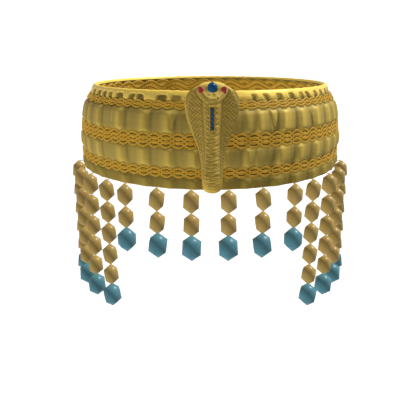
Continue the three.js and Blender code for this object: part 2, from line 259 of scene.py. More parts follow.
@dataclass(frozen=True)
class GoldCloth:
    """Thin satin gold cloth, brown-gold, with painted highlights on its folds, gathers and rim, and painted
    shade in its tucks, puckers, creases and under the braids.

    Spans are of the mesh's painted light value, which is below 0 where shade is painted in tucks and puckers
    and above 2 on the rim's painted highlight.
    """

    panel: Colour = srgb(169, 146, 72)
    # Painted highlight on the folds.
    crest: Colour = srgb(197, 170, 77)
    # The rim colour is a painted highlight on the rim and on the gathers under it.
    rim: Colour = srgb(255, 217, 94)
    # Painted shade in the tucks beside the folds, in the puckers and along the fine creases.
    tuck: Colour = srgb(116, 98, 46)
    # Painted shade under the braids' cords and on the skirt.
    shade: Colour = srgb(112, 99, 42)
    metal: float = 0.1
    specular: float = 0.14
    crest_span: Span = (0.0, 0.8)
    rim_span: Span = (1.2, 1.9)
    tuck_span: Span = (0.0, -0.9)
    tuck_share: float = 0.9
    satin_span: Span = (0.9, 1.8)
    roughness: Span = (0.52, 0.38)
    bed_roughness: float = 0.4
    coat: float = 0.6
    coat_roughness: float = 0.24
    coat_starts: Span = (1.2, 1.7)
    coat_ends: Span = (2.1, 2.5)
    crease_scale: Span = (0.35, 0.07)
    crease_span: Span = (0.35, 0.7)
    crease_share: float = 0.12
    crease_roughness: float = 0.08
    crease_relief: float = 0.6
    thread_pitch: float = 0.55
    thread_relief: float = 0.15
    relief: float = 0.08
    relief_strength: float = 0.4

    def build(self) -> bpy.types.Material:
        """Makes the material."""
        surface = Surface(
            "gathered gold cloth",
            Metallic=self.metal,
            Specular_IOR_Level=self.specular,
            Coat_Roughness=self.coat_roughness,
        )
        graph = surface.graph
        cloth = graph.node("ShaderNodeUVMap", {"uv_map": "cloth"})
        across = graph.node("ShaderNodeSeparateXYZ", None, {"Vector": cloth}, "X")
        along = across.output("Y")
        turn = 2 * math.pi / self.thread_pitch
        weave = (across * turn).sin() * (along * turn).sin()
        wide, long = self.crease_scale
        crease = surface.noise(graph.vector(across * wide, along * long, 0.0), 1.0, 2.0)
        # Painted light of the cloth: highlights on folds, gathers and rim, shade in tucks and puckers; it
        # also sets the gloss and coat.
        ridge = surface.attribute("ridge")
        # Painted highlight on the folds, by their lift.
        body = graph.mix(graph.span(ridge, self.crest_span), self.panel, self.crest)
        # Painted highlight on the rim and on the gathers under it.
        edged = graph.mix(graph.span(ridge, self.rim_span), body, self.rim)
        # Painted shade in the tucks beside the folds and in the puckers.
        folded = graph.mix(graph.span(ridge, self.tuck_span, (0.0, self.tuck_share)), edged, self.tuck)
        # Painted shade along the fine creases.
        creases = graph.span(crease, self.crease_span, (0.0, self.crease_share))
        # Painted shade under the braids' cords and on the skirt.
        bed = surface.attribute("bed")
        surface.link("Base Color", graph.mix(bed, graph.mix(creases, folded, self.tuck), self.shade))
        satin = graph.span(ridge, self.satin_span, self.roughness)
        surface.link("Roughness", satin + crease * self.crease_roughness + bed * self.bed_roughness)
        starts = graph.span(ridge, self.coat_starts, (0.0, self.coat))
        surface.link("Coat Weight", starts - graph.span(ridge, self.coat_ends, (0.0, self.coat)))
        height = weave * self.thread_relief + crease * self.crease_relief
        surface.bump(height, self.relief * MM, self.relief_strength)
        return surface.material


@dataclass(frozen=True)
class BraidCord:
    """Twisted cord of deep gold thread."""

    light: Colour = srgb(200, 158, 55)
    dark: Colour = srgb(178, 138, 47)
    specular: float = 0.06
    twist: float = 4.2
    fibre_scale: float = 900.0
    fibre_span: Span = (0.3, 0.7)
    roughness: Span = (0.36, 0.52)
    strand_tone: float = 0.5
    tone_span: Span = (-0.2, 1.2)
    strand_relief: float = 0.7
    fibre_relief: float = 0.3
    relief: float = 0.008

    def build(self) -> bpy.types.Material:
        """Makes the material, with the cord's strands turned round it along its length."""
        surface = Surface("plaited gold cord", Specular_IOR_Level=self.specular)
        graph = surface.graph
        along = surface.attribute("along") * self.twist
        strand = along.sin() * surface.attribute("ring_cos") + along.cos() * surface.attribute("ring_sin")
        fibre = surface.noise(surface.place(), self.fibre_scale, 2.0)
        tone = graph.span(strand * self.strand_tone + fibre, self.tone_span)
        surface.link("Base Color", graph.mix(tone, self.dark, self.light))
        surface.link("Roughness", graph.span(fibre, self.fibre_span, self.roughness))
        surface.bump(strand * self.strand_relief + fibre * self.fibre_relief, self.relief * MM)
        return surface.material


@dataclass(frozen=True)
class CastGold:
    """Cast gold-coloured metal, brightened by wear on its edges and brighter towards the foot, with a
    painted highlight on faces that turn up, painted shade in its hollows and under the head, and painted
    shade towards its right side and on the forward part of the head.

    The shaded side, the shaded part of the head and the foot are places in millimetres: across, forward and
    up.
    """

    # The top colour is a painted highlight on faces that turn up most; the high colour is wear on the edges
    # and the foot, and also a painted highlight on faces that turn up.
    top: Colour = srgb(240, 206, 100)
    high: Colour = srgb(206, 176, 81)
    face: Colour = srgb(168, 143, 70)
    # Painted shade in hollows, under the head and on the shaded patches.
    hollow: Colour = srgb(84, 70, 34)
    metal: float = 0.1
    specular: float = 0.05
    edge_span: Span = (0.52, 0.7)
    edge_share: float = 0.8
    # Painted highlight by how far a face turns up.
    high_span: Span = (0.46, 0.84)
    high_share: float = 0.9
    top_span: Span = (0.74, 0.95)
    # Painted shade by how shut in each corner is: near for crevices, far for under the head.
    near_span: Span = (0.95, 0.5)
    near_share: float = 0.75
    far_span: Span = (0.86, 0.34)
    far_share: float = 0.3
    # Painted shade growing towards the right side, and on the forward part of the head where it turns part
    # way up.
    dull_side: Span = (-3.0, 8.0)
    side_share: float = 0.22
    dull_brow: Span = (-110.0, -114.0)
    brow_share: float = 0.38
    brow_slope: Span = (0.3, 0.6)
    foot: Span = (9.0, 0.0)
    grain_scale: float = 420.0
    grain_span: Span = (0.3, 0.75)
    roughness: Span = (0.5, 0.62)
    relief: float = 0.04
    relief_strength: float = 0.6

    def build(self) -> bpy.types.Material:
        """Makes the material."""
        surface = Surface("cast gold", Metallic=self.metal, Specular_IOR_Level=self.specular)
        graph = surface.graph
        grain = surface.noise(surface.place(), self.grain_scale, 4.0)
        side = graph.node("ShaderNodeSeparateXYZ", None, {"Vector": surface.place()}, "X")
        up = surface.attribute("up")

        def patch(place: Value, ends: Span, share: float) -> Value:
            """A share that comes in between two places in millimetres."""
            return graph.span(place, (ends[0] * MM, ends[1] * MM), (0.0, share))

        edge = graph.span(surface.attribute("cavity"), self.edge_span, (0.0, self.edge_share))
        # Painted highlight on faces that turn up.
        raised = graph.span(up, self.high_span, (0.0, self.high_share))
        # Wear on the edges, brighter towards the foot, and the painted highlight on faces that turn up.
        worn_and_lit = graph.mix(edge + patch(side.output("Z"), self.foot, 1.0) + raised, self.face, self.high)
        # Stronger painted highlight where a face turns up most.
        lit_from_above = graph.mix(graph.span(up, self.top_span), worn_and_lit, self.top)
        # Painted shade in crevices and, reaching further, under the head.
        shut_near = graph.span(surface.attribute("open_near"), self.near_span, (0.0, self.near_share))
        shut_far = graph.span(surface.attribute("open_far"), self.far_span, (0.0, self.far_share))
        # Painted shade towards the right side and on the forward part of the head.
        brow = patch(side.output("Y"), self.dull_brow, self.brow_share) * graph.span(up, self.brow_slope)
        shade_patches = patch(side, self.dull_side, self.side_share) + brow
        creased = graph.mix(shut_near, lit_from_above, self.hollow)
        surface.link("Base Color", graph.mix(shut_far + shade_patches, creased, self.hollow))
        surface.link("Roughness", graph.span(grain, self.grain_span, self.roughness))
        surface.bump(grain, self.relief * MM, self.relief_strength)
        return surface.material


@dataclass(frozen=True)
class Bead:
    """A glossy finish whose colour goes from the first to the second in soft patches."""

    name: str
    first: Colour
    second: Colour
    patch: float = 60.0
    detail: float = 1.0
    patch_span: Span = (0.3, 0.72)
    gloss: float = 0.36
    uneven: float = 0.03
    specular: float = 0.25

    def build(self) -> bpy.types.Material:
        """Makes the material."""
        surface = Surface(self.name, Specular_IOR_Level=self.specular)
        graph = surface.graph
        share = graph.span(surface.noise(surface.place(), self.patch, self.detail), self.patch_span)
        surface.link("Base Color", graph.mix(share, self.first, self.second))
        surface.link("Roughness", share * (2 * self.uneven) + (self.gloss - self.uneven))
        return surface.material


@dataclass(frozen=True)
class Stone(Bead):
    """Polished stone, in smaller patches than a bead's."""

    patch: float = 240.0
    detail: float = 2.0
    gloss: float = 0.28
    uneven: float = 0.04
    specular: float = 0.22


@dataclass(frozen=True)
class PaleFloor:
    """A plain pale studio floor."""

    colour: Colour = srgb(238, 238, 238)
    roughness: float = 0.9
    specular: float = 0.1

    def build(self) -> bpy.types.Material:
        """Makes the material."""
        surface = Surface(
            "pale floor", Base_Color=self.colour, Roughness=self.roughness, Specular_IOR_Level=self.specular
        )
        return surface.material


# Meshes


def add_object(name: str, mesh: bpy.types.Mesh) -> bpy.types.Object:
    """Puts a mesh into the scene as an object at the origin."""
    piece = bpy.data.objects.new(name, mesh)
    bpy.context.scene.collection.objects.link(piece)
    return piece


def mesh_from(name: str, points: np.ndarray, faces: Iterable[Sequence[int]]) -> bpy.types.Mesh:
    """Makes a smooth mesh.

    Args:
        name: the mesh's name.
        points: corners in millimetres, one to a row.
        faces: corner numbers of each face.

    Returns:
        The mesh, in metres.
    """
    mesh = bpy.data.meshes.new(name)
    mesh.from_pydata((points * MM).tolist(), [], [list(face) for face in faces])
    mesh.update()
    mesh.shade_smooth()
    return mesh


def grid_faces(rows: int, columns: int, wrap_rows: bool, wrap_columns: bool) -> np.ndarray:
    """Corner numbers of the four-sided cells of a grid whose points are numbered row by row."""
    row = np.arange(rows if wrap_rows else rows - 1)[:, None]
    column = np.arange(columns if wrap_columns else columns - 1)[None, :]
    below, beside = (row + 1) % rows, (column + 1) % columns
    here, under = row * columns, below * columns
    cells = (here + column, here + beside, under + beside, under + column)
    return np.stack(np.broadcast_arrays(*cells), axis=-1).reshape(-1, 4)


def point_outwards(mesh: bpy.types.Mesh) -> None:
    """Turns the faces of a closed mesh to point out."""
    work = bmesh.new()
    work.from_mesh(mesh)
    bmesh.ops.recalc_face_normals(work, faces=work.faces)
    work.to_mesh(mesh)
    work.free()


def lofted(name: str, rings: np.ndarray) -> bpy.types.Mesh:
    """A closed body through rings of corners, shape (rings, corners, 3), with its ends filled."""
    count, size, _ = rings.shape
    faces = grid_faces(count, size, False, True).tolist()
    faces.append(list(range(size))[::-1])
    faces.append(list(range((count - 1) * size, count * size)))
    mesh = mesh_from(name, rings.reshape(-1, 3), faces)
    point_outwards(mesh)
    return mesh


def store(mesh: bpy.types.Mesh, name: str, values: np.ndarray) -> None:
    """Stores one value for each corner of a mesh."""
    attribute = mesh.attributes.new(name, "FLOAT", "POINT")
    attribute.data.foreach_set("value", np.ascontiguousarray(values, np.float32))


def baked(piece: bpy.types.Object, name: str) -> bpy.types.Object:
    """Replaces an object with a plain mesh of what its modifiers make.

    Args:
        piece: the object, which is removed.
        name: the new object's name.

    Returns:
        The new object.
    """
    graph = bpy.context.evaluated_depsgraph_get()
    mesh = bpy.data.meshes.new_from_object(piece.evaluated_get(graph), depsgraph=graph)
    mesh.name = name
    bpy.data.objects.remove(piece)
    return add_object(name, mesh)


def dress(piece: bpy.types.Object, material: bpy.types.Material, slot: Slot, *nodes: str) -> None:
    """Gives a finished piece its material, attaches it to the body and hides the frame nodes that it stands
    for.
    """
    piece.data.materials.clear()
    piece.data.materials.append(material)
    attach(piece, BODY)
    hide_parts(*nodes)
    log.info("%s: %d faces", piece.name, len(piece.data.polygons))


def smooth_step(share: np.ndarray) -> np.ndarray:
    """An even rise from 0 to 1 as share goes from 0 to 1."""
    held = np.clip(share, 0.0, 1.0)
    return held * held * (3 - 2 * held)


def rise(value: np.ndarray, over: Span) -> np.ndarray:
    """An even rise from 0 to 1 as a value goes over a span."""
    return smooth_step((value - over[0]) / (over[1] - over[0]))


def smooth_curve(at: np.ndarray, values: np.ndarray, wanted: np.ndarray) -> np.ndarray:
    """A smooth curve through values at rising places, read at the places wanted."""
    slope = np.gradient(values, at)
    cell = np.clip(np.searchsorted(at, wanted) - 1, 0, len(at) - 2)
    length = at[cell + 1] - at[cell]
    share = np.clip((wanted - at[cell]) / length, 0, 1)
    square, cube = share**2, share**3
    return (
        (2 * cube - 3 * square + 1) * values[cell]
        + (cube - 2 * square + share) * length * slope[cell]
        + (3 * square - 2 * cube) * values[cell + 1]
        + (cube - square) * length * slope[cell + 1]
    )


def hump(distance: np.ndarray, reach: float) -> np.ndarray:
    """A soft hump, 1 in the middle and nearly 0 at twice its reach."""
    return np.exp(-((distance / reach) ** 2))


def smooth_columns(rows: Sequence[Sequence[float]], wanted: np.ndarray) -> list[np.ndarray]:
    """Reads each further column of a table at places in its first column, along smooth curves."""
    at, *columns = np.array(rows).T
    return [smooth_curve(at, values, wanted) for values in columns]


def read_rows(rows: Sequence[Sequence[float]], at: Any, column: int = 1) -> np.ndarray:
    """Reads one column of a table at places in its first column, in straight steps."""
    table = np.array(rows)
    return np.interp(at, table[:, 0], table[:, column])


def wrapped(degrees: np.ndarray) -> np.ndarray:
    """Angles brought to between -180 and 180 degrees."""
    return (degrees + 180.0) % 360.0 - 180.0


# The band


@dataclass(frozen=True)
class Oval:
    """The oval that the band follows, in millimetres. Angle 0 is the brow, and +X is positive."""

    half_width: float = 88.0
    ratio: float = 1.15

    def point(self, angle: np.ndarray, out: np.ndarray, height: np.ndarray) -> np.ndarray:
        """Points on ovals whose half width is `out` more, at an angle in radians and a height."""
        half = self.half_width + out
        parts = np.broadcast_arrays(half * np.sin(angle), -half * self.ratio * np.cos(angle), height)
        return np.stack(parts, axis=-1)


@dataclass(frozen=True)
class Fold:
    """A fold in the cloth: place and width in degrees, height above and below the middle braid in mm."""

    at: float
    width: float
    upper: float
    lower: float
    lean: float = 0.0


@dataclass(frozen=True)
class Pleat:
    """A pleat that hangs from the upper braid and runs to a point: degrees, and millimetres down and out."""

    at: float
    width: float
    drop: float
    lift: float


FRONT_FOLDS = (
    Fold(-66.0, 5.0, 1.0, 0.9, -2.0),
    Fold(-58.2, 5.5, 1.2, 1.0, -2.8),
    Fold(-49.0, 6.0, 1.3, 1.2, -2.2),
    Fold(-35.3, 6.5, 1.3, 1.3, -2.4),
    Fold(-24.4, 6.0, 1.3, 1.2, -0.4),
    Fold(-14.8, 5.5, 1.4, 1.1, -0.5),
    Fold(-5.5, 5.0, 0.8, 1.0),
    Fold(5.0, 5.0, 0.8, 0.8),
    Fold(13.6, 5.5, 0.7, 1.1, 1.0),
    Fold(17.6, 5.5, 1.3, 0.5, 1.6),
    Fold(27.4, 7.0, 1.7, 1.4, 3.0),
    Fold(36.0, 6.0, 1.6, 1.4, 2.6),
    Fold(45.2, 6.5, 1.6, 1.4, 2.0),
    Fold(54.6, 6.0, 1.4, 1.2, 3.0),
    Fold(63.0, 5.0, 1.2, 1.0, 2.0),
)
PLEATS = (
    Pleat(-13.4, 3.2, 11.0, 0.9),
    Pleat(24.2, 4.2, 10.0, 1.1),
    Pleat(-40.5, 3.0, 9.0, 0.6),
    Pleat(43.4, 3.2, 11.0, 0.7),
    Pleat(112.0, 4.2, 13.0, 0.9),
    Pleat(171.0, 4.8, 15.0, 1.0),
    Pleat(238.0, 3.8, 12.0, 0.8),
)


@dataclass(frozen=True)
class Pucker:
    """A short hollow between gathers under the rim: place, width and lean in degrees, depth as a share."""

    at: float
    width: float
    lean: float = 0.0
    depth: float = 1.0


FRONT_PUCKERS = (
    Pucker(-65.2, 5.0, 0.8),
    Pucker(-57.9, 4.4, 0.8),
    Pucker(-51.8, 3.6, 0.4),
    Pucker(-46.8, 2.8, 0.3, 0.8),
    Pucker(-40.2, 4.2),
    Pucker(-33.4, 3.0, 0.8, 0.9),
    Pucker(-28.8, 3.3, -0.4),
    Pucker(-19.1, 4.4, 0.2),
    Pucker(-12.9, 4.2, 0.0, 0.7),
    Pucker(9.0, 2.6, 0.0, 0.5),
    Pucker(17.5, 2.2, -0.3, 0.8),
    Pucker(22.9, 2.4, -0.9, 0.75),
    Pucker(28.8, 2.8, -0.4, 0.7),
    Pucker(35.2, 2.8, -0.7, 0.75),
    Pucker(40.7, 2.6, -0.3, 0.55),
    Pucker(45.2, 2.4, -1.0, 0.75),
    Pucker(51.5, 2.6, -0.5, 0.65),
    Pucker(57.5, 3.0, -0.6, 0.7),
    Pucker(64.5, 3.4, -0.6, 0.7),
)


@dataclass
class Band:
    """The gathered band: a closed wall whose cloth is pressed flat under the braids.

    Rows of outside are height, distance outside the oval and share of a fold's height; rows of inside are
    height and distance; rows of hem are distance and height. Rows of back_waves are size, turn and start of
    the waves that vary the back folds' place, width, height above, height below and lean.
    """

    oval: Oval
    outside: tuple[tuple[float, float, float], ...] = (
        (-0.3, 0.8, 0.7),
        (2.4, 0.8, 0.9),
        (4.4, 0.75, 0.85),
        (6.2, 0.4, 0.12),
        (11.2, 0.45, 0.12),
        (13.0, 0.8, 0.95),
        (15.0, 1.0, 1.0),
        (18.0, 1.0, 1.0),
        (20.8, 0.75, 0.95),
        (22.6, 0.3, 0.12),
        (29.6, -0.45, 0.12),
        (31.4, -0.4, 0.95),
        (33.0, -0.65, 1.0),
        (37.0, -1.45, 1.0),
        (40.0, -2.35, 0.95),
        (41.0, -2.9, 0.9),
        (42.6, -3.85, 0.15),
        (46.8, -6.75, 0.1),
        (47.6, -6.6, 0.1),
        (49.2, -6.98, 0.1),
        (50.6, -7.68, 0.1),
    )
    inside: tuple[tuple[float, float], ...] = (
        (-0.3, -2.6),
        (8.7, -3.1),
        (36.5, -4.6),
        (43.0, -7.6),
        (48.0, -10.2),
        (52.3, -12.1),
    )
    rim_middle: tuple[float, float] = (50.85, -9.3)
    rim_radius: float = 1.3
    rim_start: float = 0.5
    rim_ripple: float = 0.08
    columns: int = 900
    panel_rows: int = 68
    tier_rows: int = 16
    inside_rows: int = 14
    rim_rows: int = 8
    middle_braid: float = 26.1
    upper_braid: float = 41.8
    fold_depth: float = 0.9
    # Place, width and strength of the painted shade along the steeper foot of each fold.
    tuck_at: float = 0.42
    tuck_reach: float = 0.12
    tuck_depth: float = 0.36
    tier_foot: float = 45.6
    tier_top: float = 50.1
    tier_rise: float = 1.2
    # Painted highlight on the gathers under the rim, stronger near their top, and on the rim itself.
    tier_shine: float = 1.6
    tier_glow: float = 0.4
    rim_shine: float = 2.6
    fold_sides: Span = (0.24, 0.4)
    fold_power: float = 1.9
    fold_crest: float = 1.2
    fold_change: float = 2.0
    back_folds: int = 19
    back_span: Span = (76.0, 283.5)
    back_width: float = 6.0
    back_height: float = 1.15
    back_waves: tuple[tuple[float, float, float], ...] = (
        (1.2, 2.4, 0.0),
        (1.0, 1.7, 0.0),
        (0.25, 3.1, 0.0),
        (0.2, 2.3, math.pi / 2),
        (0.9, 1.3, 0.0),
    )
    pleat_tip: float = 0.02
    pleat_edge: float = 2.2
    pleat_end: float = 3.0
    pucker_depth: float = 1.1
    # Strength of the painted shade in the puckers.
    pucker_shade: float = 1.1
    pucker_size: float = 1.25
    pucker_edge: float = 1.5
    back_puckers: Span = (70.0, 286.0)
    back_pucker_width: Span = (2.8, 4.6)
    back_pucker_gap: Span = (2.0, 4.6)
    back_pucker_lean: Span = (-0.9, 0.9)
    back_pucker_depth: Span = (0.7, 1.0)
    gather_lines: tuple[tuple[float, float], ...] = (
        (4.6, 2.2),
        (12.6, 3.6),
        (21.0, 3.4),
        (31.4, 4.2),
        (41.4, 4.0),
    )
    crease_waves: tuple[int, int] = (70, 230)
    crease_count: int = 14
    crease_depth: float = 0.07
    crease_drift: Span = (-0.18, 0.18)
    crease_gain: float = 1.6
    ripple_waves: tuple[int, int] = (30, 75)
    ripple_count: int = 5
    # Heights over which the stronger painted highlight near the top of the gathers comes in.
    glow: Span = (48.2, 50.0)
    inside_ends: Span = (0.4, 2.0)
    inside_crowding: float = 1.6
    hem: tuple[tuple[float, float], ...] = ((-2.2, -0.35), (-1.2, -0.6), (-0.3, -0.55))
    profile_steps: int = 672
    profile_soften: int = 23
    # Painted shade on the skirt below the lower braid, by height: strongest under the braid, less at the
    # hem.
    skirt_shade: tuple[tuple[float, float], ...] = ((0.0, 0.36), (4.0, 0.5), (6.0, 0.5), (7.0, 0.0))
    flat: tuple[float, float] = (0.062, 0.66)
    seed: int = 7

    def outside_at(self, height: float) -> float:
        """How far a flat panel of the cloth lies outside the oval at a height."""
        return float(read_rows(self.outside, height))

    def inside_at(self, height: float) -> float:
        """How far the band's inside lies outside the oval at a height; it is less than 0."""
        return float(read_rows(self.inside, height))

    def folds(self) -> list[Fold]:
        """The folds of the front, and those of the back, spaced evenly with a small shift to each."""
        first, last = self.back_span
        back = []
        for place in range(self.back_folds):
            shift, wider, upper, lower, lean = (
                size * math.sin(turn * place + start) for size, turn, start in self.back_waves
            )
            at = first + (last - first) * place / (self.back_folds - 1) + shift
            heights = self.back_height + upper, self.back_height + lower
            back.append(Fold(at, self.back_width + wider, *heights, lean))
        return [*FRONT_FOLDS, *back]

    def fold_places(
        self, degrees: np.ndarray, height: np.ndarray
    ) -> Iterator[tuple[Fold, np.ndarray, np.ndarray]]:
        """Each fold, how many degrees past it each point is, and how tall it is at each height."""
        above = rise(height, (self.middle_braid - self.fold_change, self.middle_braid + self.fold_change))
        tall = (height - self.middle_braid) / self.middle_braid
        for fold in self.folds():
            away = wrapped(degrees - fold.at - fold.lean * tall)
            yield fold, away, fold.lower + (fold.upper - fold.lower) * above

    def fold_lift(self, degrees: np.ndarray, height: np.ndarray) -> np.ndarray:
        """How far the folds stand out of their panels, over a grid of angles and heights."""
        lift = np.zeros(np.broadcast(degrees, height).shape)
        steep, gentle = self.fold_sides
        for fold, away, tallness in self.fold_places(degrees, height):
            reach = np.where(away * fold.at < 0, steep, gentle) * fold.width
            lift = np.maximum(lift, tallness * np.exp(-np.abs(away / reach) ** self.fold_power))
        return lift

    def tucks(self, degrees: np.ndarray, height: np.ndarray) -> np.ndarray:
        """How much shade is painted along the steeper foot of each fold, over a grid of angles and heights.
        """
        depth = np.zeros(np.broadcast(degrees, height).shape)
        for fold, away, tallness in self.fold_places(degrees, height):
            inner = -math.copysign(self.tuck_at * fold.width, wrapped(np.array(fold.at)))
            depth = np.maximum(depth, tallness**2 * hump(away - inner, self.tuck_reach * fold.width))
        return depth

    def pleat_lift(self, degrees: np.ndarray, height: np.ndarray) -> np.ndarray:
        """How far the pointed pleats under the upper braid stand out."""
        lift = np.zeros(np.broadcast(degrees, height).shape)
        for pleat in PLEATS:
            left = 1 - (self.upper_braid - height) / pleat.drop
            half = pleat.width / 2 * np.clip(left, self.pleat_tip, 1.0)
            edge = 1 - np.abs(wrapped(degrees - pleat.at)) / half
            shape = smooth_step(edge * self.pleat_edge) * smooth_step(left * self.pleat_end)
            lift = np.maximum(lift, pleat.lift * shape)
        return lift

    def puckers(self) -> list[Pucker]:
        """The puckers of the front, and those of the back, drawn at random."""
        draw = np.random.default_rng(self.seed)
        back = []
        at, last = self.back_puckers
        while at < last:
            width = draw.uniform(*self.back_pucker_width)
            lean = draw.uniform(*self.back_pucker_lean)
            back.append(Pucker(at, width, lean, draw.uniform(*self.back_pucker_depth)))
            at += width + draw.uniform(*self.back_pucker_gap)
        return [*FRONT_PUCKERS, *back]

    def pucker(self, degrees: np.ndarray, height: np.ndarray) -> np.ndarray:
        """The short hollows between the gathers that hang from the rim, from 0 to 1."""
        hollow = np.zeros(np.broadcast(degrees, height).shape)
        middle = (self.tier_foot + self.tier_top) / 2
        up = (height - middle) / (self.tier_top - middle)
        for pucker in self.puckers():
            away = wrapped(degrees - pucker.at - pucker.lean * up) / (pucker.width / 2)
            inside = self.pucker_size - (np.abs(away) ** 3 + np.abs(up) ** 6) ** (1 / 3)
            hollow = np.maximum(hollow, pucker.depth * smooth_step(inside * self.pucker_edge))
        return hollow

    def gathers(self, angle: np.ndarray, height: np.ndarray) -> np.ndarray:
        """Fine creases, strongest beside each braid and at the lower edge."""
        draw = np.random.default_rng(self.seed + 1)
        near = np.zeros(np.broadcast(angle, height).shape)
        for line, reach in self.gather_lines:
            near = np.maximum(near, np.exp(-np.abs(height - line) / reach))
        crease = np.zeros_like(near)
        for waves in draw.integers(*self.crease_waves, self.crease_count):
            phase, drift = draw.uniform(0, 2 * math.pi), draw.uniform(*self.crease_drift)
            crease += np.sin(int(waves) * angle + phase + drift * height) / self.crease_count**0.5
        return crease * near

    def ripples(self, angle: np.ndarray) -> np.ndarray:
        """Small uneven waves along the rim."""
        draw = np.random.default_rng(self.seed + 2)
        waves = draw.integers(*self.ripple_waves, self.ripple_count)
        total = sum(np.sin(int(count) * angle + draw.uniform(0, 2 * math.pi)) for count in waves)
        return total / len(waves) ** 0.5

    def profile(self) -> tuple[np.ndarray, np.ndarray, np.ndarray]:
        """Heights, distances outside the oval and share of the folds, up the outside of the band."""
        rows = np.array(self.outside)
        fine = np.linspace(rows[0, 0], rows[-1, 0], self.profile_steps)
        kernel = np.hanning(self.profile_soften) / np.hanning(self.profile_soften).sum()
        columns = []
        for column in (1, 2):
            raw = np.interp(fine, rows[:, 0], rows[:, column])
            padded = np.pad(raw, self.profile_soften // 2, mode="reflect", reflect_type="odd")
            columns.append(np.convolve(padded, kernel, mode="valid"))
        below = np.linspace(rows[0, 0], self.tier_foot, self.panel_rows, endpoint=False)
        height = np.concatenate([below, np.linspace(self.tier_foot, rows[-1, 0], self.tier_rows)])
        return height, np.interp(height, fine, columns[0]), np.interp(height, fine, columns[1])

    def build(self, braids: Sequence["Braid"]) -> bpy.types.Object:
        """Makes the band as one closed mesh with a map of the cloth on it, in millimetres of cloth.

        Args:
            braids: the braids whose cords put painted shade on the cloth under them.

        Returns:
            The band.
        """
        angle = np.linspace(0, 2 * math.pi, self.columns, endpoint=False)[None, :] + math.pi
        degrees = np.degrees(angle)
        height, panel, gather = (values[:, None] for values in self.profile())
        lift = gather * np.maximum(self.fold_lift(degrees, height), self.pleat_lift(degrees, height))
        hollow = self.pucker(degrees, height)
        fine = self.crease_depth * self.gathers(angle, height) * np.clip(gather * self.crease_gain, 0, 1)
        out = panel + self.fold_depth * lift + fine - self.pucker_depth * hollow
        outside = self.oval.point(angle, out, height)
        turn = np.linspace(self.rim_start, math.pi, self.rim_rows)[:, None]
        ripple = self.rim_ripple * self.ripples(angle)
        rim = self.oval.point(
            angle,
            self.rim_middle[1] + self.rim_radius * np.cos(turn),
            self.rim_middle[0] + (self.rim_radius + ripple) * np.sin(turn),
        )
        top, foot = self.inside[-1][0] - self.inside_ends[1], self.inside[0][0] + self.inside_ends[0]
        down = top - (top - foot) * np.linspace(0, 1, self.inside_rows)[:, None] ** self.inside_crowding
        inside = self.oval.point(angle, read_rows(self.inside, down), down)
        hem = self.oval.point(angle, *(np.array(column)[:, None] for column in zip(*self.hem)))
        shell = np.concatenate([outside, rim, inside, hem])
        # Painted light for the cloth's colour, row by row: highlights above 0, shade below.
        ridge = np.zeros(shell.shape[:2])
        tier = smooth_step((height - self.tier_foot) / self.tier_rise)
        # Painted highlight on the gathers under the rim.
        tier_light = tier * (self.tier_shine + self.tier_glow * rise(height, self.glow))
        # Painted highlight on the folds by their lift, less painted shade in the tucks along their steeper
        # foot.
        folded = lift / self.fold_crest - self.tuck_depth * gather * self.tucks(degrees, height)
        # Puckers take painted shade in place of the gathers' painted highlight.
        ridge[: len(height)] = folded + tier_light - (self.pucker_shade + self.tier_shine) * hollow
        # Painted highlight on the rim.
        ridge[len(height) : len(height) + self.rim_rows] = self.rim_shine
        # Painted shade on the skirt and under the cords of each braid.
        bed = np.zeros(shell.shape[:2])
        bed[: len(height)] = read_rows(self.skirt_shade, height)
        for braid in braids:
            if braid.face is Face.OUTSIDE:
                bed[: len(height)] = np.maximum(bed[: len(height)], braid.shade(angle, height))
            else:
                first = len(height) + self.rim_rows
                bed[first : first + self.inside_rows] = braid.shade(angle, down)
        mesh = mesh_from("band", shell.reshape(-1, 3), grid_faces(*shell.shape[:2], True, True))
        point_outwards(mesh)
        store(mesh, "ridge", ridge.ravel())
        store(mesh, "bed", bed.ravel())
        self.lay_map(mesh, shell)
        return add_object("band_cloth", mesh)

    def lay_map(self, mesh: bpy.types.Mesh, shell: np.ndarray) -> None:
        """Lays the cloth's own millimetres on the mesh: across the band, and along its profile."""
        rows, columns, _ = shell.shape
        girth = 2 * math.pi * self.oval.half_width * (1 + self.oval.ratio) / 2
        step = np.linalg.norm(np.diff(shell, axis=0), axis=2).mean(axis=1)
        along = np.concatenate([[0.0], np.cumsum(step)])
        corner = np.empty(len(mesh.loops), np.int64)
        mesh.loops.foreach_get("vertex_index", corner)
        row, column = np.divmod(corner, columns)
        face_columns = column.reshape(-1, 4)
        face_rows = row.reshape(-1, 4)
        over_seam = face_columns.max(axis=1, keepdims=True) - face_columns > columns / 2
        over_hem = face_rows.max(axis=1, keepdims=True) - face_rows > rows / 2
        across = (face_columns + columns * over_seam) * girth / columns
        length = along[face_rows] + (along[-1] + step.mean()) * over_hem
        layer = mesh.uv_layers.new(name="cloth")
        layer.data.foreach_set("uv", np.stack([across, length], axis=-1).astype(np.float32).ravel())

    def dress(self, piece: bpy.types.Object, finish: GoldCloth) -> None:
        """Finishes the band with its cloth material."""
        dress(piece, finish.build(), Slot.CLOTH, "band")


# Braids


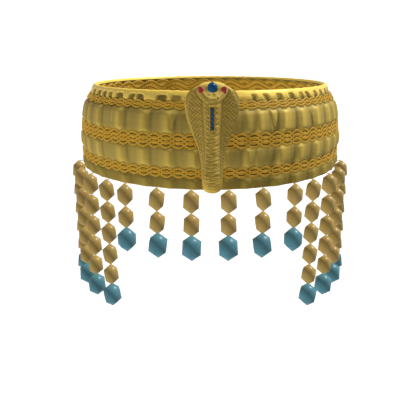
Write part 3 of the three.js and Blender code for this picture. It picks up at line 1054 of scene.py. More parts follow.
class PieceTree:
    """A node tree with named inputs that makes one piece's mesh."""

    NAME = ""
    INPUTS: dict[str, str] = {}

    def __init__(self) -> None:
        """Builds the tree, which ends by making its instances real and giving them their material."""
        self.tree = bpy.data.node_groups.new(self.NAME, "GeometryNodeTree")
        add = self.tree.interface.new_socket
        self.sockets = {
            name: add(name=name, in_out="INPUT", socket_type="NodeSocket" + kind).identifier
            for name, kind in self.INPUTS.items()
        }
        add(name="Geometry", in_out="OUTPUT", socket_type="NodeSocketGeometry")
        graph = Graph(self.tree)
        given = graph.node("NodeGroupInput")
        real = graph.node("GeometryNodeRealizeInstances", None, {"Geometry": self.shape(graph, given)})
        finish = {"Geometry": real, "Material": given.output("Material")}
        done = graph.node("GeometryNodeSetMaterial", None, finish)
        graph.node("NodeGroupOutput", None, {"Geometry": done})

    def shape(self, graph: Graph, given: Value) -> Value:
        """Adds the nodes that shape the piece and gives their last output."""
        raise NotImplementedError

    def make(self, name: str, sizes: dict[str, Any]) -> bpy.types.Object:
        """Runs the tree.

        Args:
            name: the finished piece's name.
            sizes: a value for each named input.

        Returns:
            The piece, as a plain smooth mesh.
        """
        carrier = add_object(name + "_carrier", bpy.data.meshes.new(name + "_carrier"))
        modifier = carrier.modifiers.new(self.NAME, "NODES")
        modifier.node_group = self.tree
        for key, value in sizes.items():
            modifier[self.sockets[key]] = value
        piece = baked(carrier, name)
        piece.data.shade_smooth()
        return piece


class PlaitTree(PieceTree):
    """A node tree that lays wavy flat cords round the oval, half of them over the other half."""

    NAME = "plaited braid"
    INPUTS = {
        "Cords": "Int",
        "Points": "Int",
        "Waves": "Int",
        "Pair Spacing": "Float",
        "Swing": "Float",
        "Lift": "Float",
        "Cord Half Width": "Float",
        "Cord Half Depth": "Float",
        "Thinning": "Float",
        "Half Width": "Float",
        "Oval Ratio": "Float",
        "Height": "Float",
        "Slope": "Float",
        "Material": "Material",
    }
    CORD_SIDES = 10

    def shape(self, graph: Graph, given: Value) -> Value:
        """Adds the nodes: a ring for each cord, moved to its wave, then given its flat section."""
        points = given.output("Points")
        index = graph.node("GeometryNodeInputIndex")
        angle = index / points * (2 * math.pi) + math.pi
        ring = graph.node("GeometryNodeCurvePrimitiveCircle", None, {"Resolution": points, "Radius": 1.0})
        marked = self._store(graph, ring, "turn", angle)
        copies = {"Geometry": marked, "Amount": given.output("Cords")}
        cords = graph.node("GeometryNodeDuplicateElements", {"domain": "SPLINE"}, copies)
        number = cords.output("Duplicate Index")
        turn = graph.node("GeometryNodeInputNamedAttribute", {"data_type": "FLOAT"}, {"Name": "turn"})
        wave = turn * given.output("Waves")
        pair = (number / 2).floor()
        sign = 1 - (number % 2) * 2
        middle = (given.output("Cords") / 2 - 1) / 2
        across = (pair - middle) * given.output("Pair Spacing") + sign * given.output("Swing") * wave.sin()
        over = sign * given.output("Lift")
        slope, ratio = given.output("Slope"), given.output("Oval Ratio")
        half = given.output("Half Width") + over * slope.cos() + across * slope.sin()
        height = given.output("Height") + across * slope.cos() - over * slope.sin()
        place = graph.vector(half * turn.sin(), -1 * (half * ratio * turn.cos()), height)
        routed = graph.node("GeometryNodeSetPosition", None, {"Geometry": cords, "Position": place})
        along = self._store(graph, routed, "along", turn * given.output("Half Width") / MM)
        level = slope.cos()
        outward = graph.vector(turn.sin() * ratio * level, -1 * (turn.cos() * level), -1 * slope.sin())
        facing = {"Curve": along, "Normal": outward}
        faced = graph.node("GeometryNodeSetCurveNormal", {"mode": "FREE"}, facing)
        around = {"Resolution": self.CORD_SIDES, "Radius": 1.0}
        section = graph.node("GeometryNodeCurvePrimitiveCircle", None, around)
        corner = graph.node("GeometryNodeInputIndex") * (2 * math.pi / self.CORD_SIDES)
        section = self._store(graph, section, "ring_cos", corner.cos())
        section = self._store(graph, section, "ring_sin", corner.sin())
        size = graph.vector(given.output("Cord Half Depth"), given.output("Cord Half Width"), 1.0)
        section = graph.node("GeometryNodeTransform", None, {"Geometry": section, "Scale": size})
        stretch = 1 - wave.cos() * wave.cos() * given.output("Thinning")
        sweep = {"Curve": faced, "Profile Curve": section, "Scale": stretch}
        cord = graph.node("GeometryNodeCurveToMesh", None, sweep)
        return graph.node("GeometryNodeSetShadeSmooth", None, {"Geometry": cord})

    @staticmethod
    def _store(graph: Graph, geometry: Value, name: str, value: Value) -> Value:
        """Stores a value at each point under a name."""
        settings = {"data_type": "FLOAT", "domain": "POINT"}
        inputs = {"Geometry": geometry, "Name": name, "Value": value}
        return graph.node("GeometryNodeStoreNamedAttribute", settings, inputs)


@dataclass
class Braid:
    """One plaited braid round the band: sizes in millimetres, waves counted round the whole oval."""

    node: str
    height: float
    width: float
    pairs: int
    waves: int = 40
    face: Face = Face.OUTSIDE
    spacing: float = 2.25
    swing: float = 1.52
    lift: float = -0.26
    cord_half_width: float = 0.64
    cord_half_depth: float = 0.26
    thinning: float = 0.22
    stand_off: float = 0.48
    shade_reach: float = 0.6
    points_per_wave: int = 16

    def shade(self, angle: np.ndarray, height: np.ndarray) -> np.ndarray:
        """How much shade the cords paint on the cloth, from 0 clear of them to 1 in their eyes."""
        wave = np.abs(np.sin(self.waves * angle)) if self.face is Face.OUTSIDE else np.ones_like(angle)
        reach = (self.pairs - 1) / 2 * self.spacing + self.swing * wave + self.cord_half_width
        clear = np.abs(height - self.height) - reach
        return smooth_step(1 - clear / self.shade_reach) ** 2

    def build(self, plait: PlaitTree, band: Band, material: bpy.types.Material) -> bpy.types.Object:
        """Lays the braid along the slope of the cloth at its height."""
        at = band.outside_at if self.face is Face.OUTSIDE else band.inside_at
        low, high = (at(self.height + step * self.width / 2) for step in (-1, 1))
        slope = math.atan2(high - low, self.width)
        away = self.face.value * self.stand_off
        sizes = {
            "Cords": 2 * self.pairs,
            "Points": self.waves * self.points_per_wave,
            "Waves": self.waves,
            "Pair Spacing": self.spacing * MM,
            "Swing": self.swing * MM,
            "Lift": self.face.value * self.lift * MM,
            "Cord Half Width": self.cord_half_width * MM,
            "Cord Half Depth": self.cord_half_depth * MM,
            "Thinning": self.thinning,
            "Half Width": (band.oval.half_width + at(self.height) + away * math.cos(slope)) * MM,
            "Oval Ratio": band.oval.ratio,
            "Height": (self.height - away * math.sin(slope)) * MM,
            "Slope": slope,
            "Material": material,
        }
        piece = plait.make(self.node + "_cords", sizes)
        dress(piece, material, Slot.BRAID, self.node)
        return piece


BRAIDS = (
    Braid("braid_lower", height=8.7, width=5.4, pairs=2, spacing=2.15, swing=1.4),
    Braid("braid_middle", height=26.1, width=8.2, pairs=3),
    Braid("braid_upper", height=44.5, width=4.9, pairs=2, spacing=1.75, swing=1.12, cord_half_width=0.52),
    Braid(
        "braid_inner",
        height=45.3,
        width=11.6,
        pairs=2,
        waves=20,
        face=Face.INSIDE,
        spacing=4.2,
        swing=2.4,
        lift=0.4,
        cord_half_width=1.7,
        cord_half_depth=1.1,
        thinning=0.0,
        stand_off=1.55,
        points_per_wave=22,
    ),
)


# The cobra

ROUND_SIDES = 32
BALL_SIDES = 48
BALL_RINGS = 28


@dataclass(frozen=True)
class CobraFrame:
    """Where the cobra stands: its own x, depth forward of its flat back, and height, to the headdress's."""

    offset: float
    back: float
    squareness: float = 3.0

    def place(self, x: np.ndarray, depth: np.ndarray, height: np.ndarray) -> np.ndarray:
        """Points of the headdress, in millimetres."""
        parts = np.broadcast_arrays(np.asarray(x) + self.offset, -self.back - np.asarray(depth), height)
        return np.stack(parts, axis=-1)

    def round_body(self, name: str, ball: "Ball", extra: float = 0.0) -> bpy.types.Mesh:
        """A ball of the cobra as a mesh, `extra` larger all round."""
        work = bmesh.new()
        move = Matrix.Translation(Vector(self.place(*ball.middle) * MM))
        lean = Matrix.Rotation(math.radians(ball.lean), 4, "Y")
        matrix = move @ lean @ Matrix.Diagonal((*((np.array(ball.halves) + extra) * MM), 1))
        if ball.faceted:
            bmesh.ops.create_icosphere(work, subdivisions=2, radius=1.0)
            for corner in work.verts:
                total = sum(abs(share) ** self.squareness for share in corner.co)
                corner.co /= total ** (1 / self.squareness)
            bmesh.ops.transform(work, matrix=matrix, verts=work.verts)
        else:
            sides = {"u_segments": BALL_SIDES, "v_segments": BALL_RINGS}
            bmesh.ops.create_uvsphere(work, **sides, radius=1.0, matrix=matrix)
        mesh = bpy.data.meshes.new(name)
        work.to_mesh(mesh)
        work.free()
        if not ball.faceted:
            mesh.shade_smooth()
        return mesh

    def block(
        self, name: str, low: Sequence[float], high: Sequence[float], round_off: float
    ) -> bpy.types.Mesh:
        """A block between two corners (x, depth, height), its edges rounded off."""
        first, second = self.place(*low), self.place(*high)
        size = np.abs(second - first) * MM
        work = bmesh.new()
        matrix = Matrix.Translation(Vector((first + second) / 2 * MM)) @ Matrix.Diagonal((*size, 1))
        bmesh.ops.create_cube(work, size=1.0, matrix=matrix)
        if round_off:
            bmesh.ops.bevel(work, geom=work.edges[:], offset=round_off * MM, segments=2, affect="EDGES")
        mesh = bpy.data.meshes.new(name)
        work.to_mesh(mesh)
        work.free()
        return mesh


@dataclass(frozen=True)
class Ball:
    """A ball, or a longer one: middle (x, depth, height), half sizes in millimetres, lean in degrees."""

    middle: tuple[float, float, float]
    halves: tuple[float, float, float]
    lean: float = 0.0
    faceted: bool = False


@dataclass
class CobraBody:
    """The cobra's body and hood: a belly of lapping plates, scaled wings and a raised edge.

    Each of rows is a height, the hood's half width, the belly's half width and the depth of its front. Each
    of wings is a height and the depth of the groove beside the belly, of the hood and of its rim.
    """

    rows: tuple[tuple[float, float, float, float], ...] = (
        (-1.5, 2.4, 2.1, 2.8),
        (-0.6, 4.1, 3.7, 3.9),
        (0.6, 4.9, 4.4, 4.7),
        (3.0, 5.45, 4.9, 5.3),
        (8.0, 5.85, 4.8, 5.6),
        (16.0, 6.3, 4.3, 5.7),
        (22.0, 7.4, 4.1, 5.8),
        (28.0, 9.6, 4.2, 5.8),
        (34.0, 11.8, 4.4, 5.9),
        (39.0, 13.5, 4.7, 6.0),
        (44.0, 14.25, 4.9, 5.8),
        (48.0, 14.15, 4.9, 4.8),
        (51.0, 13.2, 4.8, 3.8),
        (53.5, 11.2, 4.7, 3.4),
        (55.5, 7.9, 4.2, 3.2),
        (57.0, 5.0, 3.0, 2.8),
    )
    wings: tuple[tuple[float, float, float, float], ...] = (
        (-1.5, 1.8, 1.4, 1.1),
        (1.0, 3.2, 2.4, 1.5),
        (10.0, 3.7, 2.9, 1.9),
        (18.0, 3.5, 2.8, 2.1),
        (26.0, 2.9, 2.3, 2.2),
        (36.0, 2.5, 2.0, 2.2),
        (57.0, 2.2, 2.0, 2.2),
    )
    core: float = 1.9
    edge: Span = (0.9, 0.2)
    bevel: Span = (0.15, 0.34)
    shoulder: Span = (46.0, 51.5)
    rim_lift: float = 0.42
    shoulder_border: float = 1.2
    rib_pitch: float = 2.1
    rib_height: float = 0.98
    rib_edge: float = 0.14
    rib_first: float = -1.5
    sag: tuple[tuple[float, float], ...] = ((0, 1.3), (6, 0.9), (12, 0.4), (25, 0.6), (33, 2.4), (46, 3.2))
    wrinkle: float = 0.07
    wrinkle_turns: tuple[float, float, float] = (7.0, 1.3, 0.7)
    scale_width: float = 1.1
    scale_height: float = 1.85
    scale_tip: float = 0.36
    scale_lift: float = 0.44
    scale_jitter: float = 0.12
    jitter_turns: Span = (3.1, 5.3)
    plate_tilt: tuple[tuple[float, float, float], ...] = ((0.13, 1.1, 0.0), (0.09, 2.3, 1.0))
    foot_crowding: Span = (3.0, 6.0)
    foot_ribs: tuple[Span, Span] = ((0.0, 9.0), (0.2, 1.0))
    rib_middle: Span = (0.5, 0.72)
    belly_round: float = 1.3
    hood_rise: Span = (0.0, 0.45)
    rim_rise: Span = (0.4, 0.8)
    border_rise: Span = (20.0, 28.0)
    border: Span = (0.15, 0.7)
    scale_fade: Span = (7.0, 2.2)
    rim_line: Span = (0.5, 0.33)
    back_share: float = 0.85
    back_columns: int = 8
    row_count: int = 300
    column_count: int = 220

    def plates(self, x: np.ndarray, height: np.ndarray, across: np.ndarray) -> np.ndarray:
        """How far the belly's plates stand out: proud at the lower edge, each lapping over the next."""
        dip = read_rows(self.sag, height)
        tilt = sum(size * np.sin(turn * height + start) for size, turn, start in self.plate_tilt)
        climb = height - self.foot_crowding[0] * np.exp(-height / self.foot_crowding[1])
        share = ((climb + dip * (1 - across**2) + tilt * x - self.rib_first) / self.rib_pitch) % 1.0
        tall = self.rib_height * np.interp(height, *self.foot_ribs)
        middle, level = self.rib_middle
        plate = tall * np.interp(share, [0, self.rib_edge, middle, 1], [0, 1, level, 0])
        main, across_turn, up_turn = self.wrinkle_turns
        wrinkled = np.sin(main * height + 2 * np.sin(across_turn * x + up_turn * height))
        return plate + self.wrinkle * wrinkled * (1 - across**2)

    def scales(self, side: np.ndarray, inward: np.ndarray, height: np.ndarray) -> np.ndarray:
        """Lapping scales of the wings, in slanting rows along the hood's edge, each proud at its tip."""
        column, step = inward / (2 * self.scale_width), height / self.scale_height
        laps = []
        for slant in (-1, 1):
            turn = self.jitter_turns[0] * step + slant * self.jitter_turns[1] * column
            wander = self.scale_jitter * np.sin(turn + np.sign(side))
            share = (step + slant * column + wander) % 1.0
            laps.append(np.interp(share, [0, self.scale_tip, 1], [0, 1, 0]))
        return self.scale_lift * np.minimum(*laps)

    def build(self, stand: CobraFrame) -> bpy.types.Mesh:
        """Makes the closed body."""
        height = np.linspace(self.rows[0][0], self.rows[-1][0], self.row_count)[:, None]
        half, belly, front = smooth_columns(self.rows, height)
        side = np.linspace(-1, 1, self.column_count)[None, :]
        across = np.clip(2 * np.abs(side), 0, 1)
        beyond = np.clip(2 * np.abs(side) - 1, 0, 1)
        x = np.sign(side) * (belly * across + (half - belly) * beyond)
        round_off = np.clip(1 - across**3, 0, 1) ** self.belly_round
        groove, hood, rim = (read_rows(self.wings, height, column) for column in (1, 2, 3))
        swell = groove + (front - groove) * round_off + self.plates(x, height, across) * (1 - across**6)
        inward = (half - belly) * (1 - beyond)
        wing = groove + (hood - groove) * rise(beyond, self.hood_rise)
        wing = wing + (rim - hood) * rise(beyond, self.rim_rise)
        edge, bevel = (np.interp(height, self.shoulder, ends) for ends in (self.edge, self.bevel))
        wing = wing + (edge - rim) * smooth_step((beyond - 1 + bevel) / bevel)
        bordered = rise(height, self.border_rise)
        on_shoulder = rise(height, self.shoulder)
        border = self.border[0] + self.border[1] * bordered + self.shoulder_border * on_shoulder
        rimmed = bordered * (1 - on_shoulder)
        fade_in, fade_out = self.scale_fade
        shown = smooth_step(beyond * fade_in) * smooth_step((inward - border) * fade_out)
        wing = wing + shown * self.scales(side, inward, height)
        wing = wing + self.rim_lift * rimmed * hump(inward - self.rim_line[0], self.rim_line[1])
        depth = np.where(beyond > 0, wing, swell)
        shell = stand.place(x, depth, height)
        behind = (belly + self.back_share * (half - belly)) * np.linspace(1, -1, self.back_columns)[None, :]
        back = stand.place(behind, 0.0, height)
        return lofted("cobra body", np.concatenate([shell, back], axis=1))


@dataclass(frozen=True)
class Mark:
    """A raised line on the head, or a groove where lift is below 0, along a line of points (x, depth,
    height).
    """

    line: tuple[tuple[float, float, float], ...]
    reach: float
    lift: float
    both_sides: bool = True

    def amount(self, points: np.ndarray) -> np.ndarray:
        """How far the mark lifts each point of the head, in millimetres."""
        spots = points.copy()
        if self.both_sides:
            spots[..., 0] = np.abs(spots[..., 0])
        ends = np.array(self.line, float)
        nearest = np.full(spots.shape[:-1], np.inf)
        for first, last in zip(ends, ends[1:] if len(ends) > 1 else ends):
            along = last - first
            share = np.clip(((spots - first) @ along) / max(along @ along, TINY), 0, 1)
            nearest = np.minimum(nearest, np.linalg.norm(spots - first - share[..., None] * along, axis=-1))
        return self.lift * hump(nearest, self.reach)


HEAD_MARKS = (
    Mark(((5.4, 9.6, 56.4), (4.2, 10.6, 55.7), (3.6, 12.4, 53.9), (2.7, 14.6, 52.5)), 0.7, -0.14),
    Mark(((7.4, 8.6, 54.6), (6.9, 11.2, 52.9), (5.2, 13.6, 51.6)), 0.6, -0.12),
    Mark(((1.0, 15.0, 52.4), (1.5, 15.2, 52.1)), 0.8, 0.45),
    Mark(((0.0, 14.0, 53.0), (0.0, 15.6, 52.1)), 0.3, -0.25, False),
    Mark(((0.5, 16.6, 51.2), (1.9, 18.4, 49.9)), 0.3, -0.45),
    Mark(((2.5, 17.0, 50.7),), 1.0, 0.35),
    Mark(((2.55, 17.6, 50.4),), 0.42, -1.3),
    Mark(((0.0, 19.0, 49.6), (2.3, 18.6, 49.7)), 0.3, -0.4),
    Mark(((0.0, 19.1, 48.9), (2.7, 18.2, 49.0), (6.2, 11.8, 51.4)), 0.45, 0.34),
    Mark(((0.0, 19.1, 47.85), (1.9, 18.8, 47.85), (2.6, 18.0, 48.2)), 0.24, -1.0),
    Mark(((0.0, 19.0, 47.35), (2.2, 18.4, 47.45)), 0.36, 0.6),
    Mark(((0.0, 8.4, 57.5),), 0.7, 1.2, False),
)


@dataclass
class CobraHead:
    """The head, which reaches forward and down from the hood.

    Each of rows is a depth, the height of the middle there, the half width, and the size above and below.
    """

    rows: tuple[tuple[float, float, float, float, float], ...] = (
        (0.6, 53.6, 7.4, 3.0, 3.0),
        (4.0, 54.0, 8.0, 3.8, 4.0),
        (8.5, 53.4, 7.8, 4.0, 4.2),
        (11.0, 52.4, 7.0, 3.2, 4.0),
        (12.5, 51.8, 6.3, 2.2, 3.6),
        (14.5, 50.8, 5.0, 1.9, 3.2),
        (16.5, 49.8, 3.9, 1.8, 2.7),
        (18.3, 48.9, 2.9, 1.75, 2.0),
    )
    nose: float = 0.8
    nose_shut: float = 0.97
    flatness: tuple[tuple[float, float], ...] = ((8.0, 2.1), (13.5, 3.0))
    rings: int = 110
    nose_rings: int = 18
    sides: int = 144

    def build(self, stand: CobraFrame) -> bpy.types.Mesh:
        """Makes the closed head."""
        rows = np.array(self.rows)
        along = np.linspace(rows[0, 0], rows[-1, 0], self.rings)
        turn = np.linspace(0, math.pi / 2 * self.nose_shut, self.nose_rings)[1:]
        reach = np.concatenate([along, rows[-1, 0] + self.nose * np.sin(turn)])[:, None]
        shrink = np.concatenate([np.ones(self.rings), np.cos(turn)])[:, None]
        middle, half, above, below = smooth_columns(self.rows, np.minimum(reach, rows[-1, 0]))
        angle = np.linspace(0, 2 * math.pi, self.sides, endpoint=False)[None, :]
        flatness = read_rows(self.flatness, reach)
        power = np.where(np.sin(angle) > 0, 2 / flatness, 1.0)
        x, up = (np.sign(turned) * np.abs(turned) ** power for turned in (np.cos(angle), np.sin(angle)))
        height = middle + np.where(up > 0, above, below) * shrink * up
        points = np.stack(np.broadcast_arrays(half * shrink * x, reach, height), axis=-1)
        forward = np.gradient(points, axis=0)
        round_it = np.roll(points, -1, axis=1) - np.roll(points, 1, axis=1)
        outward = np.cross(forward, round_it)
        outward /= np.maximum(np.linalg.norm(outward, axis=-1, keepdims=True), TINY)
        outward *= np.sign((outward[..., 0] * x + outward[..., 2] * up).sum())
        lift = sum(mark.amount(points) for mark in HEAD_MARKS)
        return lofted("cobra head", stand.place(*np.moveaxis(points + lift[..., None] * outward, -1, 0)))


@dataclass
class Cobra:
    """The cast cobra with its stones."""

    stand: CobraFrame
    band: Band
    body: CobraBody = field(default_factory=CobraBody)
    head: CobraHead = field(default_factory=CobraHead)
    gap: float = 0.3
    throat_width: float = 3.05
    throat_height: float = 13.0
    throat_rim: float = 0.48
    throat_at: float = 39.2
    throat_proud: float = 1.7
    throat_deep: float = 0.6
    stone_count: int = 5
    stone_radius: float = 0.92
    stone_dome: float = 0.7
    stone_pitch: float = 2.28
    stone_girdle: float = 0.35
    stone_rings: int = 9
    stone_shut: float = 0.96
    frame_round: float = 0.18
    cut_past: float = 2.0
    sharp_angle: float = 55.0
    bend_passes: int = 3
    bend_spread: float = 0.6
    bend_gain: float = 1.6
    ray_slant: float = 0.1
    ray_start: float = 0.03
    shade_near: float = 1.3
    shade_far: float = 16.0
    shade_rays: int = 40
    post_radius: float = 2.2
    post_heights: tuple[float, float] = (17.0, 36.5)
    brow: Ball = Ball((0.0, 12.3, 55.4), (2.6, 2.6, 2.6))
    eye: Ball = Ball((5.8, 11.3, 54.1), (1.3, 1.3, 1.9), 14.0, True)

    def eye_on(self, side: Side) -> Ball:
        """The eye of one side."""
        x, depth, height = self.eye.middle
        return Ball((side.value * x, depth, height), self.eye.halves, side.value * self.eye.lean, True)

    def throat_front(self) -> float:
        """Depth of the throat frame's front face."""
        return float(read_rows(self.body.rows, self.throat_at, 3)) + self.throat_proud

    def post(self, height: float) -> bpy.types.Mesh:
        """A post behind the cobra, which ends just clear of the cloth."""
        cloth = max(self.band.outside_at(height + step * self.post_radius) for step in (-1, 1))
        end = (self.band.oval.half_width + cloth) * self.band.oval.ratio + self.gap - self.stand.back
        turn = np.linspace(0, 2 * math.pi, ROUND_SIDES, endpoint=False)[None, :]
        depth = np.linspace(end, self.body.core, 4)[:, None]
        x, up = self.post_radius * np.cos(turn), self.post_radius * np.sin(turn)
        return lofted("cobra post", self.stand.place(x, depth, height + up))

    def throat_block(self, rim: float, back: float, front: float, round_off: float) -> bpy.types.Mesh:
        """A block over the throat, `rim` inside the frame's outline."""
        x, tall = self.throat_width / 2 - rim, self.throat_height / 2 - rim
        low, high = (-x, back, self.throat_at - tall), (x, front, self.throat_at + tall)
        return self.stand.block("throat frame", low, high, round_off)

    def cast(self) -> bpy.types.Object:
        """Joins the body, head, throat frame and posts, and cuts the seats of the stones."""
        front = self.throat_front()
        joined = [
            self.head.build(self.stand),
            self.throat_block(0.0, self.body.core, front, self.frame_round),
            *(self.post(height) for height in self.post_heights),
        ]
        seats = [
            self.throat_block(self.throat_rim, front - self.throat_deep, front + self.cut_past, 0.0),
            self.stand.round_body("brow seat", self.brow, self.gap),
            *(self.stand.round_body("eye seat", self.eye_on(side), self.gap) for side in Side),
        ]
        piece = add_object("cobra body", self.body.build(self.stand))
        helpers = []
        for operation, meshes in (("UNION", joined), ("DIFFERENCE", seats)):
            for mesh in meshes:
                helpers.append(add_object(mesh.name, mesh))
                modifier = piece.modifiers.new(mesh.name, "BOOLEAN")
                modifier.operation = operation
                modifier.solver = "MANIFOLD"
                modifier.object = helpers[-1]
        cast = baked(piece, "cobra_cast")
        for helper in helpers:
            bpy.data.objects.remove(helper)
        return cast

    def mark_hollows(self, mesh: bpy.types.Mesh) -> tuple[np.ndarray, np.ndarray]:
        """Stores how hollow the metal is at each corner, below 0.5 in a hollow, and how far it faces up."""
        count = len(mesh.vertices)
        points, normals = np.empty(count * 3), np.empty(count * 3)
        mesh.vertices.foreach_get("co", points)
        mesh.vertices.foreach_get("normal", normals)
        points, normals = points.reshape(-1, 3), normals.reshape(-1, 3)
        edges = np.empty(len(mesh.edges) * 2, np.int64)
        mesh.edges.foreach_get("vertices", edges)
        near, far = edges.reshape(-1, 2).T
        one, other = np.concatenate([near, far]), np.concatenate([far, near])
        degree = np.maximum(np.bincount(one, minlength=count), 1)
        step = points[other] - points[one]
        step /= np.maximum(np.linalg.norm(step, axis=1, keepdims=True), TINY)
        bend = np.bincount(one, (step * normals[one]).sum(axis=1), count) / degree
        for _ in range(self.bend_passes):
            around = np.bincount(one, bend[other], count) / degree
            bend = (1 - self.bend_spread) * bend + self.bend_spread * around
        store(mesh, "cavity", np.clip(0.5 - self.bend_gain * bend, 0, 1))
        # How far each face turns up, for the cast gold's painted highlight.
        store(mesh, "up", normals[:, 2])
        return points, normals

    def mark_shade(self, mesh: bpy.types.Mesh, points: np.ndarray, normals: np.ndarray) -> None:
        """Stores how open each corner is to what is near it and far from it, from 0 when shut in to 1, which
        the cast gold uses for its painted shade.
        """
        tree = BVHTree.FromPolygons(points.tolist(), [list(face.vertices) for face in mesh.polygons])
        place = np.arange(self.shade_rays) + 0.5
        high, spin = 1 - 2 * place / self.shade_rays, math.pi * (1 + math.sqrt(5)) * place
        flat = np.sqrt(1 - high**2)
        rays = np.stack([flat * np.cos(spin), flat * np.sin(spin), high], axis=1)
        facing = np.clip(normals @ rays.T - self.ray_slant, 0, None)
        starts = points + self.ray_start * MM * normals
        near, far = self.shade_near * MM, self.shade_far * MM
        shut_near, shut_far = np.zeros(len(points)), np.zeros(len(points))
        directions = [Vector(ray) for ray in rays]
        for corner, start in enumerate(starts.tolist()):
            for ray in np.flatnonzero(facing[corner]).tolist():
                distance = tree.ray_cast(start, directions[ray], far)[3]
                if distance is not None:
                    shut_near[corner] += facing[corner, ray] * max(0.0, 1 - distance / near)
                    shut_far[corner] += facing[corner, ray] * (1 - distance / far)
        store(mesh, "open_near", 1 - shut_near / facing.sum(axis=1))
        store(mesh, "open_far", 1 - shut_far / facing.sum(axis=1))

    def throat_stone(self, place: int) -> bpy.types.Object:
        """One round stone of the throat, with a flat foot and a dome."""
        turn = np.linspace(0, 2 * math.pi, ROUND_SIDES, endpoint=False)[None, :]
        curve = np.linspace(0, math.pi / 2 * self.stone_shut, self.stone_rings)
        spread = np.concatenate([[1.0], np.cos(curve)])[:, None] * self.stone_radius
        dome = self.stone_girdle + (1 - self.stone_girdle) * np.sin(curve)
        up = np.concatenate([[0.0], dome])[:, None] * self.stone_dome
        depth = self.throat_front() - self.throat_deep + self.gap + up
        height = self.throat_at + ((self.stone_count - 1) / 2 - place) * self.stone_pitch
        rings = self.stand.place(spread * np.cos(turn), depth, height + spread * np.sin(turn))
        return add_object(f"throat_cabochon_{place + 1}", lofted("throat stone", rings))

    def build(self, metal: CastGold, blue: Stone, red: Stone) -> None:
        """Makes and dresses the cobra and its stones."""
        cast = self.cast()
        cast.data.shade_smooth()
        cast.data.set_sharp_from_angle(angle=math.radians(self.sharp_angle))
        self.mark_shade(cast.data, *self.mark_hollows(cast.data))
        dress(cast, metal.build(), Slot.CAST, "cobra")
        blue_material, red_material = blue.build(), red.build()
        brow = add_object("brow_cabochon", self.stand.round_body("brow stone", self.brow))
        dress(brow, blue_material, Slot.BLUE, "brow_stone")
        for side in Side:
            eye = add_object(f"cut_eye_{side.label}", self.stand.round_body("eye", self.eye_on(side)))
            dress(eye, red_material, Slot.RED, f"eye_{side.label}")
        for place in range(self.stone_count):
            stone = self.throat_stone(place)
            dress(stone, blue_material, Slot.BLUE, f"throat_stone_{place + 1}")


# Bead strings

BEAD_SIDES = 5
BEAD_FACETS = 20
MIDDLE_FULL = 27
MERGE_DIGITS = 5
NO_NORMAL = 0.1


@dataclass(frozen=True)
class FacetedBead:
    """A bead with a point at each end and two rings of five corners, its facets slightly full."""

    radius: float
    height: float
    tip: float
    crown: float = 0.12
    cuts: int = 6

    def corners(self) -> tuple[np.ndarray, np.ndarray]:
        """The twelve corners, in millimetres, and the three corner numbers of each of the twenty facets."""
        turn = math.pi / 2 + 2 * math.pi / BEAD_SIDES * np.arange(BEAD_SIDES)
        level = self.height / 2 / math.sqrt(BEAD_SIDES)
        rings = []
        for around, up in ((turn, -level), (turn + math.pi / BEAD_SIDES, level)):
            x, y = self.radius * np.cos(around), self.radius * np.sin(around)
            rings.append(np.column_stack([x, y, np.full(BEAD_SIDES, up)]))
        points = np.vstack([[0, 0, -self.height / 2], *rings, [0, 0, self.height / 2]])
        facets = []
        for step in range(BEAD_SIDES):
            after = (step + 1) % BEAD_SIDES
            low, low_after = 1 + step, 1 + after
            high, high_after = low + BEAD_SIDES, low_after + BEAD_SIDES
            facets.append((0, low_after, low))
            facets.append((low, low_after, high))
            facets.append((high, low_after, high_after))
            facets.append((high, high_after, 2 * BEAD_SIDES + 1))
        return points, np.array(facets)

    def build(self, name: str) -> bpy.types.Object:
        """Makes the bead at the origin, with the normal of a softened edge stored at each corner."""
        points, facets = self.corners()
        edges = points[facets]
        flat = np.cross(edges[:, 1] - edges[:, 0], edges[:, 2] - edges[:, 0])
        soft = np.zeros_like(points)
        np.add.at(soft, facets.ravel(), np.repeat(flat, 3, axis=0))
        soft /= np.linalg.norm(soft, axis=1, keepdims=True)
        flat /= np.linalg.norm(flat, axis=1, keepdims=True)
        steps = [(i, j) for i in range(self.cuts + 1) for j in range(self.cuts + 1 - i)]
        number = {step: place for place, step in enumerate(steps)}
        share = np.array([(self.cuts - i - j, i, j) for i, j in steps]) / self.cuts
        full = MIDDLE_FULL * share.prod(axis=1)
        spots = share @ edges + self.crown * full[None, :, None] * flat[:, None, :]
        normals = share @ soft[facets]
        cells = [(number[i, j], number[i + 1, j], number[i, j + 1]) for i, j in steps if i + j < self.cuts]
        cells += [
            (number[i + 1, j], number[i + 1, j + 1], number[i, j + 1])
            for i, j in steps
            if i + j < self.cuts - 1
        ]
        faces = (np.array(cells)[None] + np.arange(BEAD_FACETS)[:, None, None] * len(steps)).reshape(-1, 3)
        spots, normals = spots.reshape(-1, 3), normals.reshape(-1, 3)
        _, first, same = np.unique(spots.round(MERGE_DIGITS), axis=0, return_index=True, return_inverse=True)
        kept = spots[first]
        kept[:, 2] = np.clip(kept[:, 2], -self.tip, self.tip)
        mesh = mesh_from(name, kept, same.reshape(-1)[faces])
        attribute = mesh.attributes.new("soft", "FLOAT_VECTOR", "POINT")
        attribute.data.foreach_set("vector", normals[first].astype(np.float32).ravel())
        return add_object(name, mesh)


